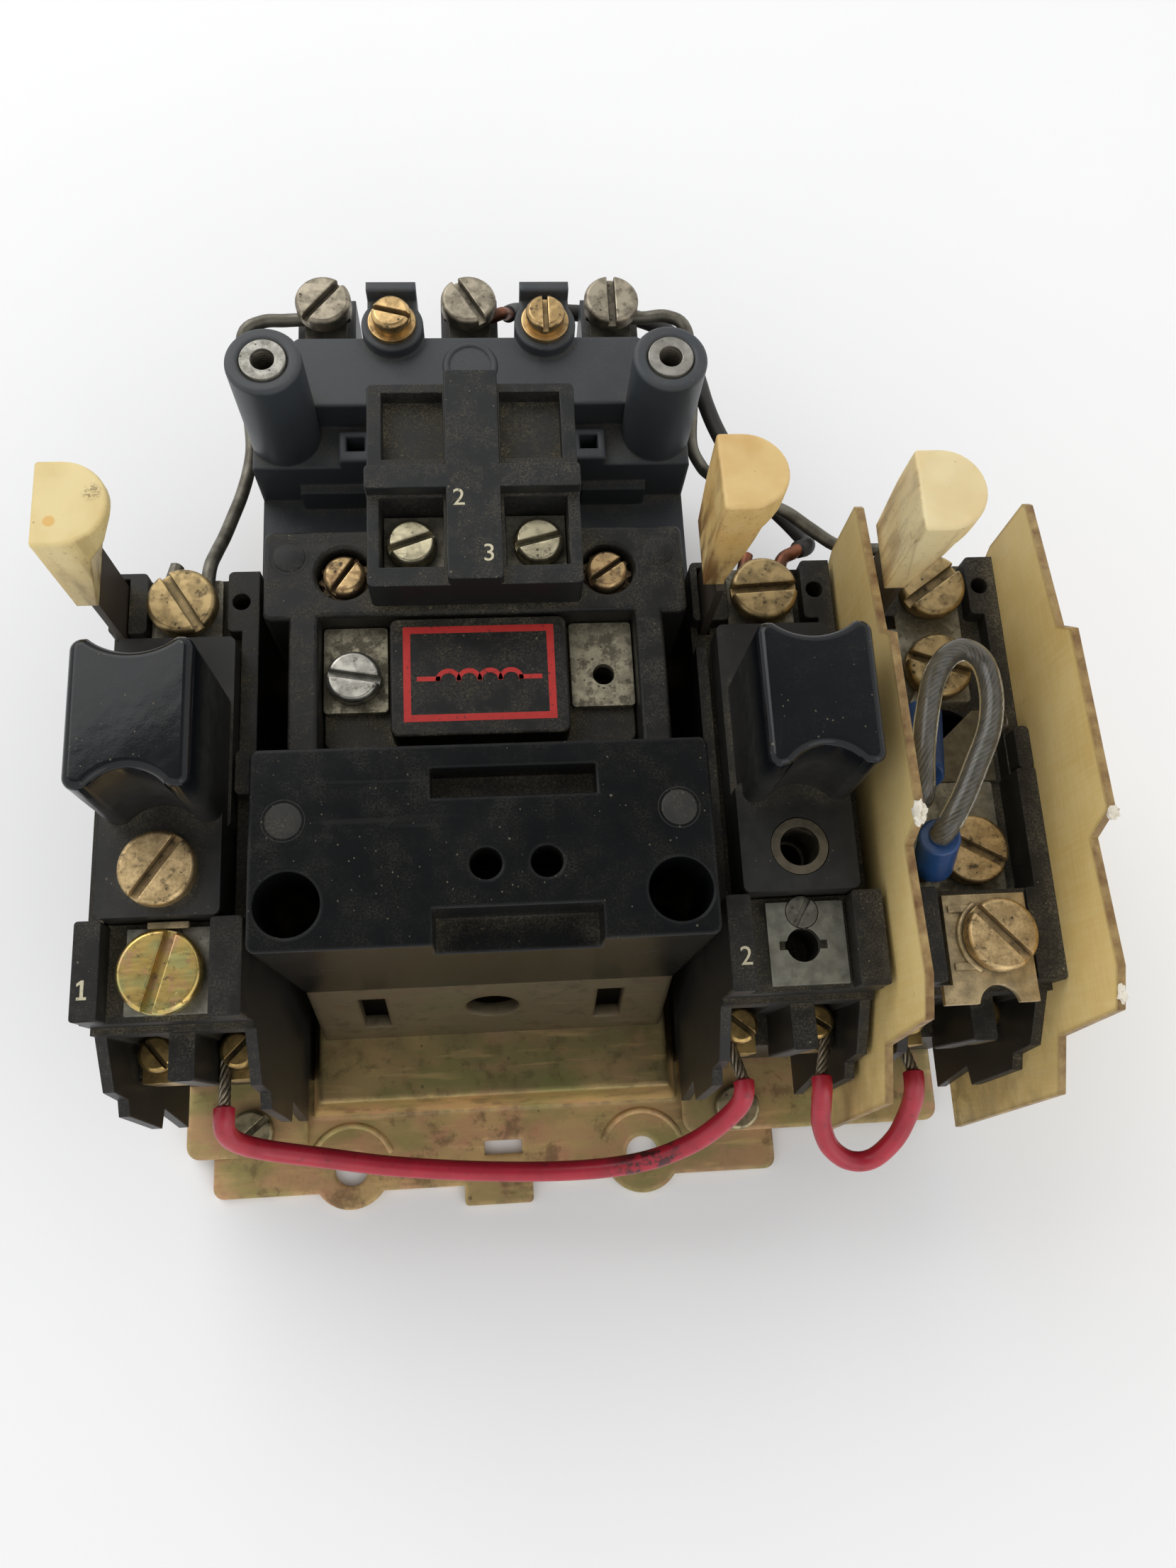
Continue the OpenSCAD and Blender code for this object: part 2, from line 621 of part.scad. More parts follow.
module arc_chamber() color(slate) place() {
    shell = [[body_rear, brk_z], [arc_rear, brk_z], [arc_rear, roof_z + 1], [deck_rear, roof_z + 1],
        [deck_rear, ledge_z], [53, ledge_z], [53, low_ledge_z], [body_rear, low_ledge_z]];
    difference() {
        union() {
            along_x([-arc_hw, arc_hw], shell);
            slab([-arc_hw + 7, arc_hw - 7], [ledge_y, deck_rear], [ledge_z - 1, deck_z], corner_r);
            for (s = sides) {
                bore([s * post_x, post_y], post_d, [ledge_z - 10, post_z]);
                slab(s > 0 ? [16, 21.3] : [-21.3, -16], [53, 58.5], [ledge_z - 1, ledge_z + 2]);
                bore([s * tower_x, tower_y], tower_d, [roof_z, tower_z]);
                tower_xs = [s * tower_x - tower_hw, s * tower_x + tower_hw];
                slab(tower_xs, [tower_y, tower_rear], [roof_z, tower_z]);
                slab(tower_xs, [tower_rear - 1.8, tower_rear], [roof_z, tower_z + 2.6]);
                slab(mirror_x([17.6, 28.2], s), [ridge_y, 54], [low_ledge_z - 1, low_ledge_z + 5]);
            }
            for (x = pole_xs) slab([x - pad_w / 2, x + pad_w / 2], [deck_rear, pad_rear], [roof_z, pad_z]);
        }
        difference() {
            slab([-arc_hw + 2.5, arc_hw - 2.5], [body_rear + 2.4, arc_rear - end_wall], [brk_z - 1, roof_z]);
            for (s = sides) slab([s * pole_dx / 2 - 0.8, s * pole_dx / 2 + 0.8],
                [bar_y[1] + carrier_travel + 3, arc_rear], [0, roof_z + 1]);
        }
        slab([-channel_hw, channel_hw], [body_rear - 1, body_rear + 3], [brk_z - 1, channel_top]);
        for (s = sides) {
            bore([s * post_x, post_y], insert_d, [post_z - 14, post_z + 1]);
            slab(s > 0 ? [17.2, 20] : [-20, -17.2], [55, 57.4], [ledge_z - 3, ledge_z + 3]);
            bore([s * tower_x, tower_y], 3.2 + 2 * hole_gap, [tower_z - 8, tower_z + 1]);
        }
        for (x = pole_xs) {
            strap_xs = [x - strap_hw - hole_gap, x + strap_hw + hole_gap];
            slab(strap_xs, [strap_y - hole_gap, strap_y + tplate_t + hole_gap], [roof_z - 1, pad_z + 1]);
            slab(strap_xs, [arc_rear - end_wall - 1, arc_rear + 1],
                [line_strap_z - hole_gap, line_strap_z + tplate_t + hole_gap]);
            bore([x, pole_y], 4.2 + 2 * hole_gap, [pad_z - 8, pad_z + 1]);
            turn_y([x, arc_rear - 6, line_z]) cylinder(d = 4.2 + 2 * hole_gap, h = 7);
        }
    }
}

ledge_y = 60.4;
strap_hw = 3.4;
line_strap_z = 24.4;
pole_y = 81;
ridge_y = 51.3;

module post_inserts() color(nickel) place() {
    for (s = sides) difference() {
        bore([s * post_x, post_y], insert_d, [post_z - 14, post_z + 0.2]);
        bore([s * post_x, post_y], insert_bore_d, [post_z - 12, post_z + 1]);
    }
}

module fixed_contact(x, z) {
    turn_y([x, fixed_y, z]) cylinder(d = contact_d, h = contact_h + 0.4);
}

// Front straps: fixed contacts at the bottom, bent over onto the terminal pads at the top
module load_straps() color(nickel) place() {
    for (x = pole_xs) difference() {
        union() {
            slab([x - strap_hw, x + strap_hw], [strap_y, strap_y + tplate_t],
                [contact_mid + contact_dz - 3.4, strap_top]);
            slab([x - strap_hw, x + strap_hw], [strap_y, pad_rear - 0.6], [pad_z, strap_top]);
            fixed_contact(x, contact_mid + contact_dz);
        }
        bore([x, pole_y], 4.2 + 2 * hole_gap, [pad_z - 1, pad_z + 4]);
    }
}

// Rear straps: from the lower fixed contacts through the end wall to the line terminals
module line_straps() color(nickel) place() {
    for (x = pole_xs) difference() {
        union() {
            xs = [x - strap_hw, x + strap_hw];
            slab(xs, [strap_y, strap_y + tplate_t],
                [contact_mid - contact_dz - 3.4, line_strap_z + tplate_t]);
            slab(xs, [strap_y, arc_rear + tplate_t], [line_strap_z, line_strap_z + tplate_t]);
            slab(xs, [arc_rear, arc_rear + tplate_t], [line_strap_z, line_z + 5]);
            fixed_contact(x, contact_mid - contact_dz);
        }
        turn_y([x, arc_rear - 1, line_z]) cylinder(d = 4.2 + 2 * hole_gap, h = 4);
    }
}

pole_turns = [50, -60, 90];

module pole_screws() color(steel) place() {
    for (i = [0:2]) {
        screw([pole_xs[i], pole_y, pole_head_z], pole_head_d, 2.6, 4.2, 8, pole_turns[i]);
        turn_y([pole_xs[i], arc_rear + tplate_t, line_z]) screw([0, 0, 0], pole_head_d, 2.6, 4.2, 6, 30 * i);
    }
}

module tower_screws() color(bronze) place() {
    for (s = sides) {
        difference() {
            bore([s * tower_x, tower_y], 7.6, [tower_z, tower_z + 0.8]);
            bore([s * tower_x, tower_y], 3.2 + 2 * hole_gap, [tower_z - 1, tower_z + 2]);
        }
        screw([s * tower_x, tower_y, tower_z + 0.8], 6.1, 2.6, 3.2, 7, s > 0 ? 90 : -15);
    }
}

// Auxiliary contact block
aux_floor = body_z + 1.4;
aux_x = 9.2;
aux_y = 32.4;
aux_bay_x = [4.4, 13.4];
aux_bay_y = [26.8, 37.5];

function mirror_x(x, s) = s > 0 ? x : [-x[1], -x[0]];

module aux_block() color(black) place() {
    difference() {
        union() {
            slab([-aux_hw, aux_hw], [aux_front, aux_rear], [body_z, aux_z], 0.8);
            slab([-aux_bar_w / 2, aux_bar_w / 2], [aux_front, aux_rear + 1],
                [body_z, aux_z + aux_bar_h], 0.6);
            slab([-aux_hw - 0.2, aux_hw + 0.2], [aux_bay_y[1] + 0.5, aux_bay_y[1] + 4.3],
                [body_z, aux_z + aux_bar_h], 0.6);
        }
        for (s = sides) {
            slab(mirror_x(aux_bay_x, s), aux_bay_y, [aux_floor, aux_z + 1]);
            slab(mirror_x([4.2, 13], s), [43.8, 54.6], [aux_z - 2.6, aux_z + 1]);
            bore([s * aux_x, aux_y], 2.9 + 2 * hole_gap, [body_z - 1, aux_z]);
        }
        slab([-aux_hw - 1, aux_hw + 1], [aux_front - 1, aux_front + 3], [body_z - 1, body_z + 1.2]);
    }
}

module aux_plates() color(nickel) place() {
    for (s = sides) difference() {
        slab(mirror_x([aux_bay_x[0] + 0.1, aux_bay_x[1] - 0.1], s), [aux_bay_y[0] + 0.1, aux_bay_y[1] - 0.1],
            [aux_floor, aux_floor + 1]);
        bore([s * aux_x, aux_y], 2.9 + 2 * hole_gap, [body_z, aux_z]);
    }
}

module aux_screws() color(nickel) place() {
    for (s = sides) screw([s * aux_x, aux_y, aux_floor + 1], aux_head_d, 2.4, 2.9, 2, s > 0 ? 15 : 20);
}

module aux_mount_screws() color(bronze) place() {
    for (s = sides) {
        difference() {
            bore([s * aux_mount_x, aux_mount_y], 7.4, [aux_mount_z, aux_mount_z + 0.9]);
            bore([s * aux_mount_x, aux_mount_y], 3 + 2 * hole_gap, [0, body_z]);
        }
        screw([s * aux_mount_x, aux_mount_y, aux_mount_z + 0.9], 6.1, 3, 3, 8, s > 0 ? 35 : 55);
    }
}

// Overload relay housing. Its own X runs from the middle of the relay
lever_flat = -ol_hw - 0.4;
slide_t = 1.2;
lever_y = [line_y - 5, line_y + 3.8];
head_dy = 0.6;
// Backward lean of the centre lever, in degrees
centre_lean = 6;
// Sideways shift of the right relay's lower screws
right_dx = 1.3;
// Ribs that hold the inner barrier off the centre relay
rib = 0.9;
// Sides of the slide, whose right face is flush with the lever's blade
slide_x = [lever_flat + blade_t - slide_t, lever_flat + blade_t];
// Height where a lever sits on its slide, and height about which a lever leans
lever_foot = lever_z - 18.6;
lean_z = ol_deck + rim_h + 0.8;
shaft_x = [slide_x[0] - run, slide_x[1] + run];
slide_foot_x = [slide_x[0], -4];
slide_stop_z = 45;
slide_foot_h = 3;
spring_x = -7.2;
spring_floor = 20;
reset_spring_d = 5;
spindle_d = 9;
spindle_y = 5;
spindle_x = 0.6;
spindle_floor = 38;
shelf_z = 60;
control_wall = 1.6;
control_post_x = [-0.9, 2.7];
line_bay_y = [24.5, ol_rear];

module housing(x, dx = 0, high = false, ribs = false) {
    wall_z = high ? load_z - 3.4 : load_z;
    translate([x, 0, 0]) difference() {
        union() {
            slab([-ol_hw, ol_hw], [-ctl_front + 2, ol_rear], [foot_top, ctl_z]);
            slab([-ol_hw, ol_hw], [-20, ol_rear], [ctl_z - 1, ol_deck], 0.6);
            slab([-ol_hw, ol_hw], [-load_front, -20 + eps], [shelf_z, load_plate_z - tplate_t]);
            slab([-ol_hw, ol_hw], [-34.4, -20 + eps], [ctl_z - 1, shelf_z]);
            slab([-ol_hw, -7.6], [-load_front, -20 + eps], [shelf_z, load_z], 0.5);
            slab([6.8, ol_hw], [-load_front, -20 + eps], [shelf_z, wall_z], 0.5);
            if (high) slab([8.2, ol_hw], [-load_front, -2], [ol_deck - 1, wall_z], 0.5);
            if (ribs) for (y = [-30, 28]) slab([ol_hw - 1, ol_hw + rib], [y, y + 3], [14, 54]);
            slab([-ol_hw - 1.1, -ol_hw + 1], [-20, -1.5], [30, ol_deck + 1.2], 0.5);
            for (s = sides) along_x(s > 0 ? [ol_hw - control_wall, ol_hw] : [-ol_hw, -ol_hw + control_wall],
                [[-20, 10], [-46.3, 10], [-43.5, 26], [-46.6, 27], [-45, ctl_z + 4], [-42.7, ctl_z + 5],
                [-41.8, 53], [-34.4, 58], [-20, 58]]);
            slab(control_post_x, [-41, -33], [ctl_z - 1, 58], 0.5);
            slab([-ol_hw, -5.5], line_bay_y, [ol_deck - 1, ol_deck + rim_h], 0.8);
            slab([6.4, ol_hw], line_bay_y, [ol_deck - 1, ol_deck + rim_h], 0.8);
            slab([8.6, ol_hw], [-20, ol_rear], [ol_deck - 1, ol_deck + rim_h]);
            slab([8.8, ol_hw], [-2, 4.6], [ol_deck - 1, ol_deck + rim_h + 3.4], 0.8);
            slab([-ol_hw, -9.4], [-20, 20], [ol_deck - 1, ol_deck + rim_h]);
        }
        slab(shaft_x, [lever_y[0] - run, lever_y[1] + 3 * run], [slide_stop_z - 1, load_z]);
        slab([shaft_x[0], slide_foot_x[1] + run], [lever_y[0] - run, lever_y[1] + 3 * run],
            [slide_stop_z - slide_foot_h - lever_travel - 2 * run, slide_stop_z]);
        bore([spring_x, line_y - 0.5], reset_spring_d + 2 * run, [spring_floor, slide_stop_z - 1]);
        bore([spindle_x, spindle_y], spindle_d + 2 * run, [spindle_floor, load_z]);
        bore([8.4, line_y + 0.6], 2.7, [ol_deck - 4, load_z]);
        bore([0, line_y], screw_hole_d, [ol_deck - screw_l, ol_deck + 1]);
        bore([0, heat_up_y], screw_hole_d, [ol_deck - screw_l, ol_deck + 1]);
        bore([dx, -heat_low_y], screw_hole_d, [ol_deck - screw_l, ol_deck + 1]);
        bore([dx, -load_y], screw_hole_d, [load_plate_z - tplate_t - screw_l, load_z]);
        for (s = sides) {
            bore([s * ctl_x, -ctl_y], 2.9 + 2 * hole_gap, [ctl_z - 7, ctl_z + 1]);
            bore([s * ctl_x, -ctl_y], ctl_head_d + 1, [ctl_z, shelf_z - 5]);
        }
    }
}

power_shank_d = 4.6;
screw_hole_d = power_shank_d + 2 * hole_gap;
screw_l = 7;

module overload_housing_left() color(black) place() housing(ol_xs[0]);
module overload_housing_centre() color(black) place() housing(ol_xs[1], 0, false, true);
module overload_housing_right() color(black) place() housing(ol_xs[2], right_dx, true);

// Reset lever: a D-shaped head on a neck that tapers to a blade, leaning back by an angle
module lever(x, lean = 0) {
    tip = lever_flat + lever_w;
    r = lever_l / 2;
    mid = line_y + head_dy;
    outline = concat([[lever_flat, mid + r]], arc(tip - r, mid, r, 90, -90, 18), [[lever_flat, mid - r]]);
    neck_z = lever_z - 18;
    translate([x, 0, 0]) intersection() {
        slab([lever_flat - 1, tip + 1], [mid - lever_l, mid + 2 * lever_l], [lever_foot, lever_z + 1]);
        translate([0, lever_y[1], lean_z]) rotate([-lean, 0, 0])
        translate([0, -lever_y[1], -lean_z]) intersection() {
            translate([0, 0, lean_z]) linear_extrude(lever_z - lean_z) polygon(outline);
            along_x([lever_flat - 1, tip + 1], [[lever_y[0], lean_z], [lever_y[1], lean_z],
                [mid + r, lever_z - 4], [mid + r, lever_z], [mid - r, lever_z], [mid - r, lever_z - 4]]);
            along_y([mid - lever_l, mid + lever_l], [[lever_flat, lean_z], [lever_flat + blade_t, lean_z],
                [lever_flat + blade_t, neck_z], [tip - 3.4, lever_z - 5.5], [tip - 1.2, lever_z - 3.5],
                [tip, lever_z - 1.6], [tip, lever_z], [lever_flat, lever_z]]);
        }
    }
}

module reset_lever_left() color(ivory) place() lever(ol_xs[0]);
module reset_lever_centre() color("#d9a85e") place() lever(ol_xs[1], centre_lean);
module reset_lever_right() color("#e8cf9a") place() lever(ol_xs[2]);

// Slide that carries a lever, with a foot that rests under a stop in the housing
module slide(x) {
    foot_z1 = slide_stop_z - run;
    translate([x, 0, 0]) {
        slab(slide_x, lever_y, [foot_z1 - slide_foot_h, lever_foot]);
        slab(slide_foot_x, lever_y, [foot_z1 - slide_foot_h, foot_z1]);
    }
}

module trip_slide_left() color(brown) place() slide(ol_xs[0]);
module trip_slide_centre() color(brown) place() slide(ol_xs[1]);
module trip_slide_right() color(brown) place() slide(ol_xs[2]);

module reset_spring(x) {
    spring([x + spring_x, line_y - 0.5], [spring_floor + 0.1, slide_stop_z - run - slide_foot_h - 0.1],
        reset_spring_d, 0.7, 7);
}

module reset_spring_left() color(steel) place() reset_spring(ol_xs[0]);
module reset_spring_centre() color(steel) place() reset_spring(ol_xs[1]);
module reset_spring_right() color(steel) place() reset_spring(ol_xs[2]);

// Heater element: a cap with scalloped ends on a foot that takes the lower screw
heater_x = [-7.5, -7.5 + cap_w];
cap_y = [-7, 13];
heater_rear = 22;
heater_front = -19.8;
heater_low_z = ol_deck + tplate_t + 0.2;

module heater(x) {
    mid = (heater_x[0] + heater_x[1]) / 2;
    translate([x, 0, 0]) difference() {
        union() {
            slab(heater_x, cap_y, [foot_z - 4, cap_z], 1.6);
            slab([heater_x[0] - 1, heater_x[1]], [heater_front, cap_y[0] + 3], [heater_low_z, foot_z], 1);
            slab([heater_x[0] - 1, heater_x[1] + 0.4], [cap_y[0], heater_rear],
                [heater_low_z, foot_z - 3.5], 1);
        }
        bore([mid, cap_y[0] - 3.4], 12, [foot_z, cap_z + 1]);
        bore([mid, cap_y[1] + 6.8], 17.6, [foot_z - 3.5, cap_z + 1]);
        bore([0, -heat_low_y], eyelet_d + 2 * hole_gap, [heater_low_z - 1, foot_z + 1]);
        bore([0, heat_up_y], power_head_d + 0.6, [heater_low_z - 1, relay_plate_z + power_head_h + 0.4]);
        bore([spindle_x, spindle_y], spindle_d + 2 * run, [heater_low_z - 1, heater_low_z + 3]);
    }
}

module heater_left() color(gloss) place() heater(ol_xs[0]);
module heater_centre() color(gloss) place() heater(ol_xs[1]);

// Alloy spindle: a pot under the heater with a toothed wheel at its lower end
module alloy_spindles() color(bronze) place() {
    teeth = 16;
    for (x = [ol_xs[0], ol_xs[1]]) translate([x + spindle_x, spindle_y, 0]) {
        translate([0, 0, spindle_floor + 3]) cylinder(d = spindle_d - 2.6, h = heater_low_z - spindle_floor);
        translate([0, 0, spindle_floor]) linear_extrude(4)
            polygon([for (i = [0:2 * teeth - 1]) let (r = spindle_d / 2 - (i % 2 == 0 ? 0 : 1))
                [r * cos(180 * i / teeth), r * sin(180 * i / teeth)]]);
    }
}

module heater_eyelets() color(bronze) place() {
    for (x = [ol_xs[0], ol_xs[1]]) difference() {
        bore([x, -heat_low_y], eyelet_d, [relay_plate_z, foot_z]);
        bore([x, -heat_low_y], screw_hole_d + 0.8, [0, foot_z + 1]);
    }
}

// Plates on a relay's deck
module deck_plate(x, y, hole_ys, dx = 0) {
    difference() {
        slab([x - 7.2, x + 5.2 + dx], y, [ol_deck, relay_plate_z], 0.6);
        for (h = hole_ys) bore([x + dx, h], screw_hole_d, [ol_deck - 1, relay_plate_z + 1]);
        bore([x + spindle_x, spindle_y], spindle_d + 2 * run, [0, load_z]);
    }
}

module relay_line_plates() color(nickel) place() {
    for (x = ol_xs) {
        difference() {
            deck_plate(x, [10.6, ol_rear - 0.4], [line_y, heat_up_y]);
            slab([x - ol_hw, x - 5.3], [lever_y[0] - 2 * run, ol_rear], [ol_deck - 1, load_z]);
        }
    }
}

module heater_plates() color(nickel) place() {
    for (i = [0:2]) deck_plate(ol_xs[i], [-19.6, -2.4], [-heat_low_y], i == 2 ? right_dx : 0);
}

module power_screw(at, turn, d = power_head_d) {
    screw(at, d, power_head_h, power_shank_d, screw_l, turn);
}

line_turns = [-58, 3, 35];

module relay_power_screws() color(bronze) place() {
    for (i = [0:2]) power_screw([ol_xs[i], line_y, line_head_z], line_turns[i]);
    power_screw([ol_xs[0], -heat_low_y, foot_z], 55);
    for (i = [0, 1]) power_screw([ol_xs[i], heat_up_y, relay_plate_z], 10);
    power_screw([ol_xs[2], heat_up_y, relay_plate_z + lug_t], -20);
    power_screw([ol_xs[2] + right_dx, -heat_low_y, relay_plate_z + lug_t], -30);
    power_screw([ol_xs[0], -load_y, load_plate_z], 75, power_head_d + 1.2);
    power_screw([ol_xs[2] + right_dx, -load_y, load_plate_z + 0.4], -48);
}

module load_plates() color(nickel) place() {
    for (x = [ol_xs[0], ol_xs[1]]) difference() {
        slab([x - 5, x + 6.2], [-load_front + 0.8, -20.8], [load_plate_z - tplate_t, load_plate_z]);
        bore([x, -load_y], screw_hole_d, [0, load_z]);
        slab([x - 3.4, x + 3.4], [-load_y - 0.6, -load_y + 0.6], [0, load_z]);
        bore([x + 0.2, -flush_y], flush_d + 2 * hole_gap, [load_plate_z - flush_h - 0.05, load_z]);
    }
}

flush_y = 22.3;
flush_d = 4.6;
flush_h = 0.85;

module flush_screws() color(nickel) place() {
    for (x = [ol_xs[0], ol_xs[1]]) translate([x + 0.2, -flush_y, load_plate_z - flush_h - 0.05])
        rotate([0, 0, 60]) difference() {
            cylinder(d = flush_d, h = flush_h);
            translate([-flush_d, -0.4, flush_h / 2]) cube([2 * flush_d, 0.8, 1]);
        }
}

// Bronze clip plate on the right relay, with two prongs and a round notch at its front edge
module load_clip_plate() color(bronze) place() translate([ol_xs[2], 0, 0]) {
    z = [load_plate_z - tplate_t, load_plate_z];
    difference() {
        translate([0, 0, z[0]]) linear_extrude(z[1] - z[0])
            polygon([[-6, -20.8], [6.2, -20.8], [6.4, -36.4], [-7.4, -36.4],
                [-7.4, -load_front - 0.2], [-6, -load_front - 0.2]]);
        bore([right_dx, -load_y], screw_hole_d, [0, load_z]);
        bore([0.6, -36.8], 6, [0, load_z]);
    }
    for (y = [-23.4, -31.6]) slab([-5.4, -1.6], [y, y + 1], [z[1] - eps, z[1] + 0.4]);
}

// Control terminals
module control_clamps() color(nickel) place() {
    for (x = ol_xs, s = sides) translate([x + s * ctl_x, 0, 0]) difference() {
        union() {
            slab([-2.8, 2.8], [-ctl_front + 1.8, -34.6], [ctl_z, ctl_plate_z]);
            slab([-2.8, 2.8], [-ctl_front + 0.8, -ctl_front + 2 - eps], [ctl_z - 8, ctl_plate_z]);
        }
        bore([0, -ctl_y], 2.9 + 2 * hole_gap, [0, load_z]);
    }
}

control_turns = [-50, 45, -40, -35, 75, 80];

module control_screws() color(bronze) place() {
    for (i = [0:2], k = [0, 1]) screw([ol_xs[i] + sides[k] * ctl_x, -ctl_y, ctl_head_z],
        ctl_head_d, 2.2, 2.9, 7, control_turns[2 * i + k]);
}

// Insulating barrier sheets
function barrier_points() = [
    [34.4, 12], [34.4, 57], [36.2, 62], [36.6, 75], [35.8, 76], [15, 79.2], [13, 83],
    [-13.5, 84.5], [-16, 78.5], [-33.5, 80], [-39.1, 78], [-41.1, 59.5], [-49.2, 56.4], [-53.5, 12]];

module barrier(x) {
    along_x([x, x + barrier_t], barrier_points());
}

module barrier_inner() color(sheet) place() barrier(ol_xs[1] + ol_hw + rib);
module barrier_outer() color(sheet) place() barrier(ol_xs[2] + ol_hw);

// Leads
// A point 1.5 mm outside the end i of a route whose next point is k
function before(route, i, k) = route[i] + 1.5 * unit(route[i] - route[k]);
function loop_round(cx, cy, z, r, a0, a1, n) = [for (p = arc(cx, cy, r, a0, a1, n)) [p[0], p[1], z]];
pole_wire_r = 2.1 + power_d / 2 + 0.15;
relay_wire_r = power_shank_d / 2 + power_d / 2 + 0.15;
pole_wire_z = strap_top + power_d / 2;
relay_wire_z = relay_plate_z + power_d / 2;

route_left = [
    [-30, 79.6, 61.2], [-33.6, 78.9, 61.8], [-36.6, 76.6, 61.6], [-37.4, 71.5, 57], [-37, 66, 53],
    [-36.8, 61.5, 52], [-37.2, 57, 52.3], [-38, 52.2, 53.2], [-39, 47.5, 54.6], [-39.8, 42.9, 56.6],
    [-40.4, 39, 59], [-40.8, 35.4, 61]];
route_right = [
    [29.2, 79.8, 61.2], [33, 79.6, 61.8], [36, 77.2, 61.6], [37.4, 71, 57], [37.2, 66.5, 54.5],
    [36.9, 60.4, 53.4], [38.2, 56.6, 53.2], [39.6, 53.8, 54.6], [44, 48, 58], [49.6, 44.2, 60],
    [53.6, 41, 60], [57.6, 37.9, 60], [61.6, 36.8, 60.4], [65.4, 36.3, 60.9], [67.4, 34.6, 61]];
route_centre = [
    [6.6, 83.5, 57.4], [8.2, 86.6, 54], [13, 88, 52], [22, 88.2, 51], [30, 87.4, 50.6],
    [36.2, 83.5, 50.6], [39, 76.5, 51.2], [40.3, 69, 52], [42, 63.4, 52], [45, 56, 52.4],
    [48.4, 50, 53.4], [52, 44.6, 54.6], [53.8, 40.6, 56.2], [53, 38.2, 58.8], [51.2, 37, 60.4]];

// A lead's loop round a relay's line screw, entered from the right, and its end behind the relay
function relay_loop(x) = concat(loop_round(x, line_y, relay_wire_z, relay_wire_r, 30, -200, 8),
    [[x - relay_wire_r + 1.9, ol_rear + 1.6, relay_wire_z]]);
// The same loop entered from the left
function relay_loop_left(x) = concat(loop_round(x, line_y, relay_wire_z, relay_wire_r, 150, 370, 8),
    [[x + relay_wire_r, ol_rear - 0.6, relay_wire_z]]);
function pole_loop(x, turn) =
    loop_round(x, pole_y, pole_wire_z, pole_wire_r, 90 - 110 * turn, 90 + 110 * turn, 8);

module power_leads() color(tinned) place() {
    tube(concat(pole_loop(pole_xs[0], 1), route_left, relay_loop(ol_xs[0])), power_d);
    tube(concat(pole_loop(pole_xs[2], -1), route_right, relay_loop_left(ol_xs[2])), power_d);
}

module centre_lead() color(gloss) place() tube(route_centre, centre_d);

// Bare strands of the red leads: x where they leave the insulation and x beside the screw's shank
strand_dx = 1.45 + strand_d / 2 + 0.35;
strand_y = [-44.3, -35.4];
strand_ends = [
    [ol_xs[0] + ctl_x - strand_dx + 0.25, ol_xs[0] + ctl_x - strand_dx + 0.25],
    [ol_xs[1] - ctl_x + 0.2, ol_xs[1] - ctl_x - strand_dx],
    [ol_xs[1] + ctl_x + 0.5, ol_xs[1] + ctl_x + strand_dx],
    [ol_xs[2] - ctl_x + 0.4, ol_xs[2] - ctl_x - strand_dx]];

// End of a red lead's insulation, and the next point straight ahead of it
function red_end(i, ahead = 0) = [strand_ends[i][0], strand_y[0] - 0.2 - ahead, strand_z];

red_long = [
    red_end(0), red_end(0, 1.5), [-40.6, -47.8, 41], [-39.6, -49.4, 37.4], [-36, -50.8, 33],
    [-27, -52.6, 29], [-17, -54.4, 26.5], [-5, -55.8, 25], [7, -56.6, 25], [17, -56.6, 26.5],
    [25, -55.6, 29], [31.6, -53.2, 33], [35.6, -50.4, 37.6], [37.9, -48, 41], red_end(1, 1.5), red_end(1)];
red_short = [
    red_end(2), red_end(2, 1.5), [50.9, -48.4, 40.8], [51.4, -51.4, 37.4], [53.2, -55, 34],
    [56.6, -57.4, 32], [60.4, -57.4, 32.2], [63.6, -54.6, 34.8], [65.2, -51.2, 37.6], [65.6, -48.2, 41],
    red_end(3, 1.5), red_end(3)];

module red_leads() color(red) place() {
    tube(red_long, red_d);
    tube(red_short, red_d);
}

// Bare copper: the red leads' strands and the looped ends of the centre lead
module lead_ends() color(copper) place() {
    for (e = strand_ends) rod([e[0], strand_y[0], strand_z], [e[1], strand_y[1], strand_z], strand_d);
    tail = len(route_centre) - 1;
    tube(concat(pole_loop(pole_xs[1], -1),
        [[5.4, 81, 60.9], before(route_centre, 0, 1), route_centre[0]]), power_d);
    tube(concat([route_centre[tail], before(route_centre, tail, tail - 1), [48.2, 34.8, 61]],
        relay_loop(ol_xs[1])), power_d);
}

// Clear jumper with a crimp sleeve and a ring lug at each end, measured from the right relay's middle
function by_right(points) = [for (p = points) p + [ol_xs[2], 0, 0]];
lug_t = 0.8;
lug_d = 8.4;
upper_sleeve = by_right([[-4.8, 7.2, 65], [-8.2, -4.4, 71.4]]);
lower_sleeve = by_right([[-6.4, -16.2, 65.4], [-8, -13.9, 74]]);
jumper_bends = by_right([
    [-9.6, -7.8, 73.6], [-10.3, -8.4, 75.6], [-10.6, -6.6, 77.4], [-10.3, -2.5, 78.2], [-8.8, 3, 77.6],
    [-6.6, 8.6, 76.4], [-3.8, 12.2, 75.6], [-1, 13.2, 75.2], [1.2, 11, 75.4], [1.6, 6.4, 75.8],
    [0.4, 1, 76.2], [-2.4, -4.4, 76.6], [-5.2, -9.4, 76.8], [-7.4, -12.7, 76.4]]);
jumper = concat([upper_sleeve[1], before(upper_sleeve, 1, 0)], jumper_bends,
    [before(lower_sleeve, 1, 0), lower_sleeve[1]]);

module clear_jumper() color(clear) place() tube(jumper, clear_d);

module rod(from, to, d) {
    v = to - from;
    translate(from) rotate([0, acos(v[2] / norm(v)), atan2(v[1], v[0])]) cylinder(d = d, h = norm(v));
}

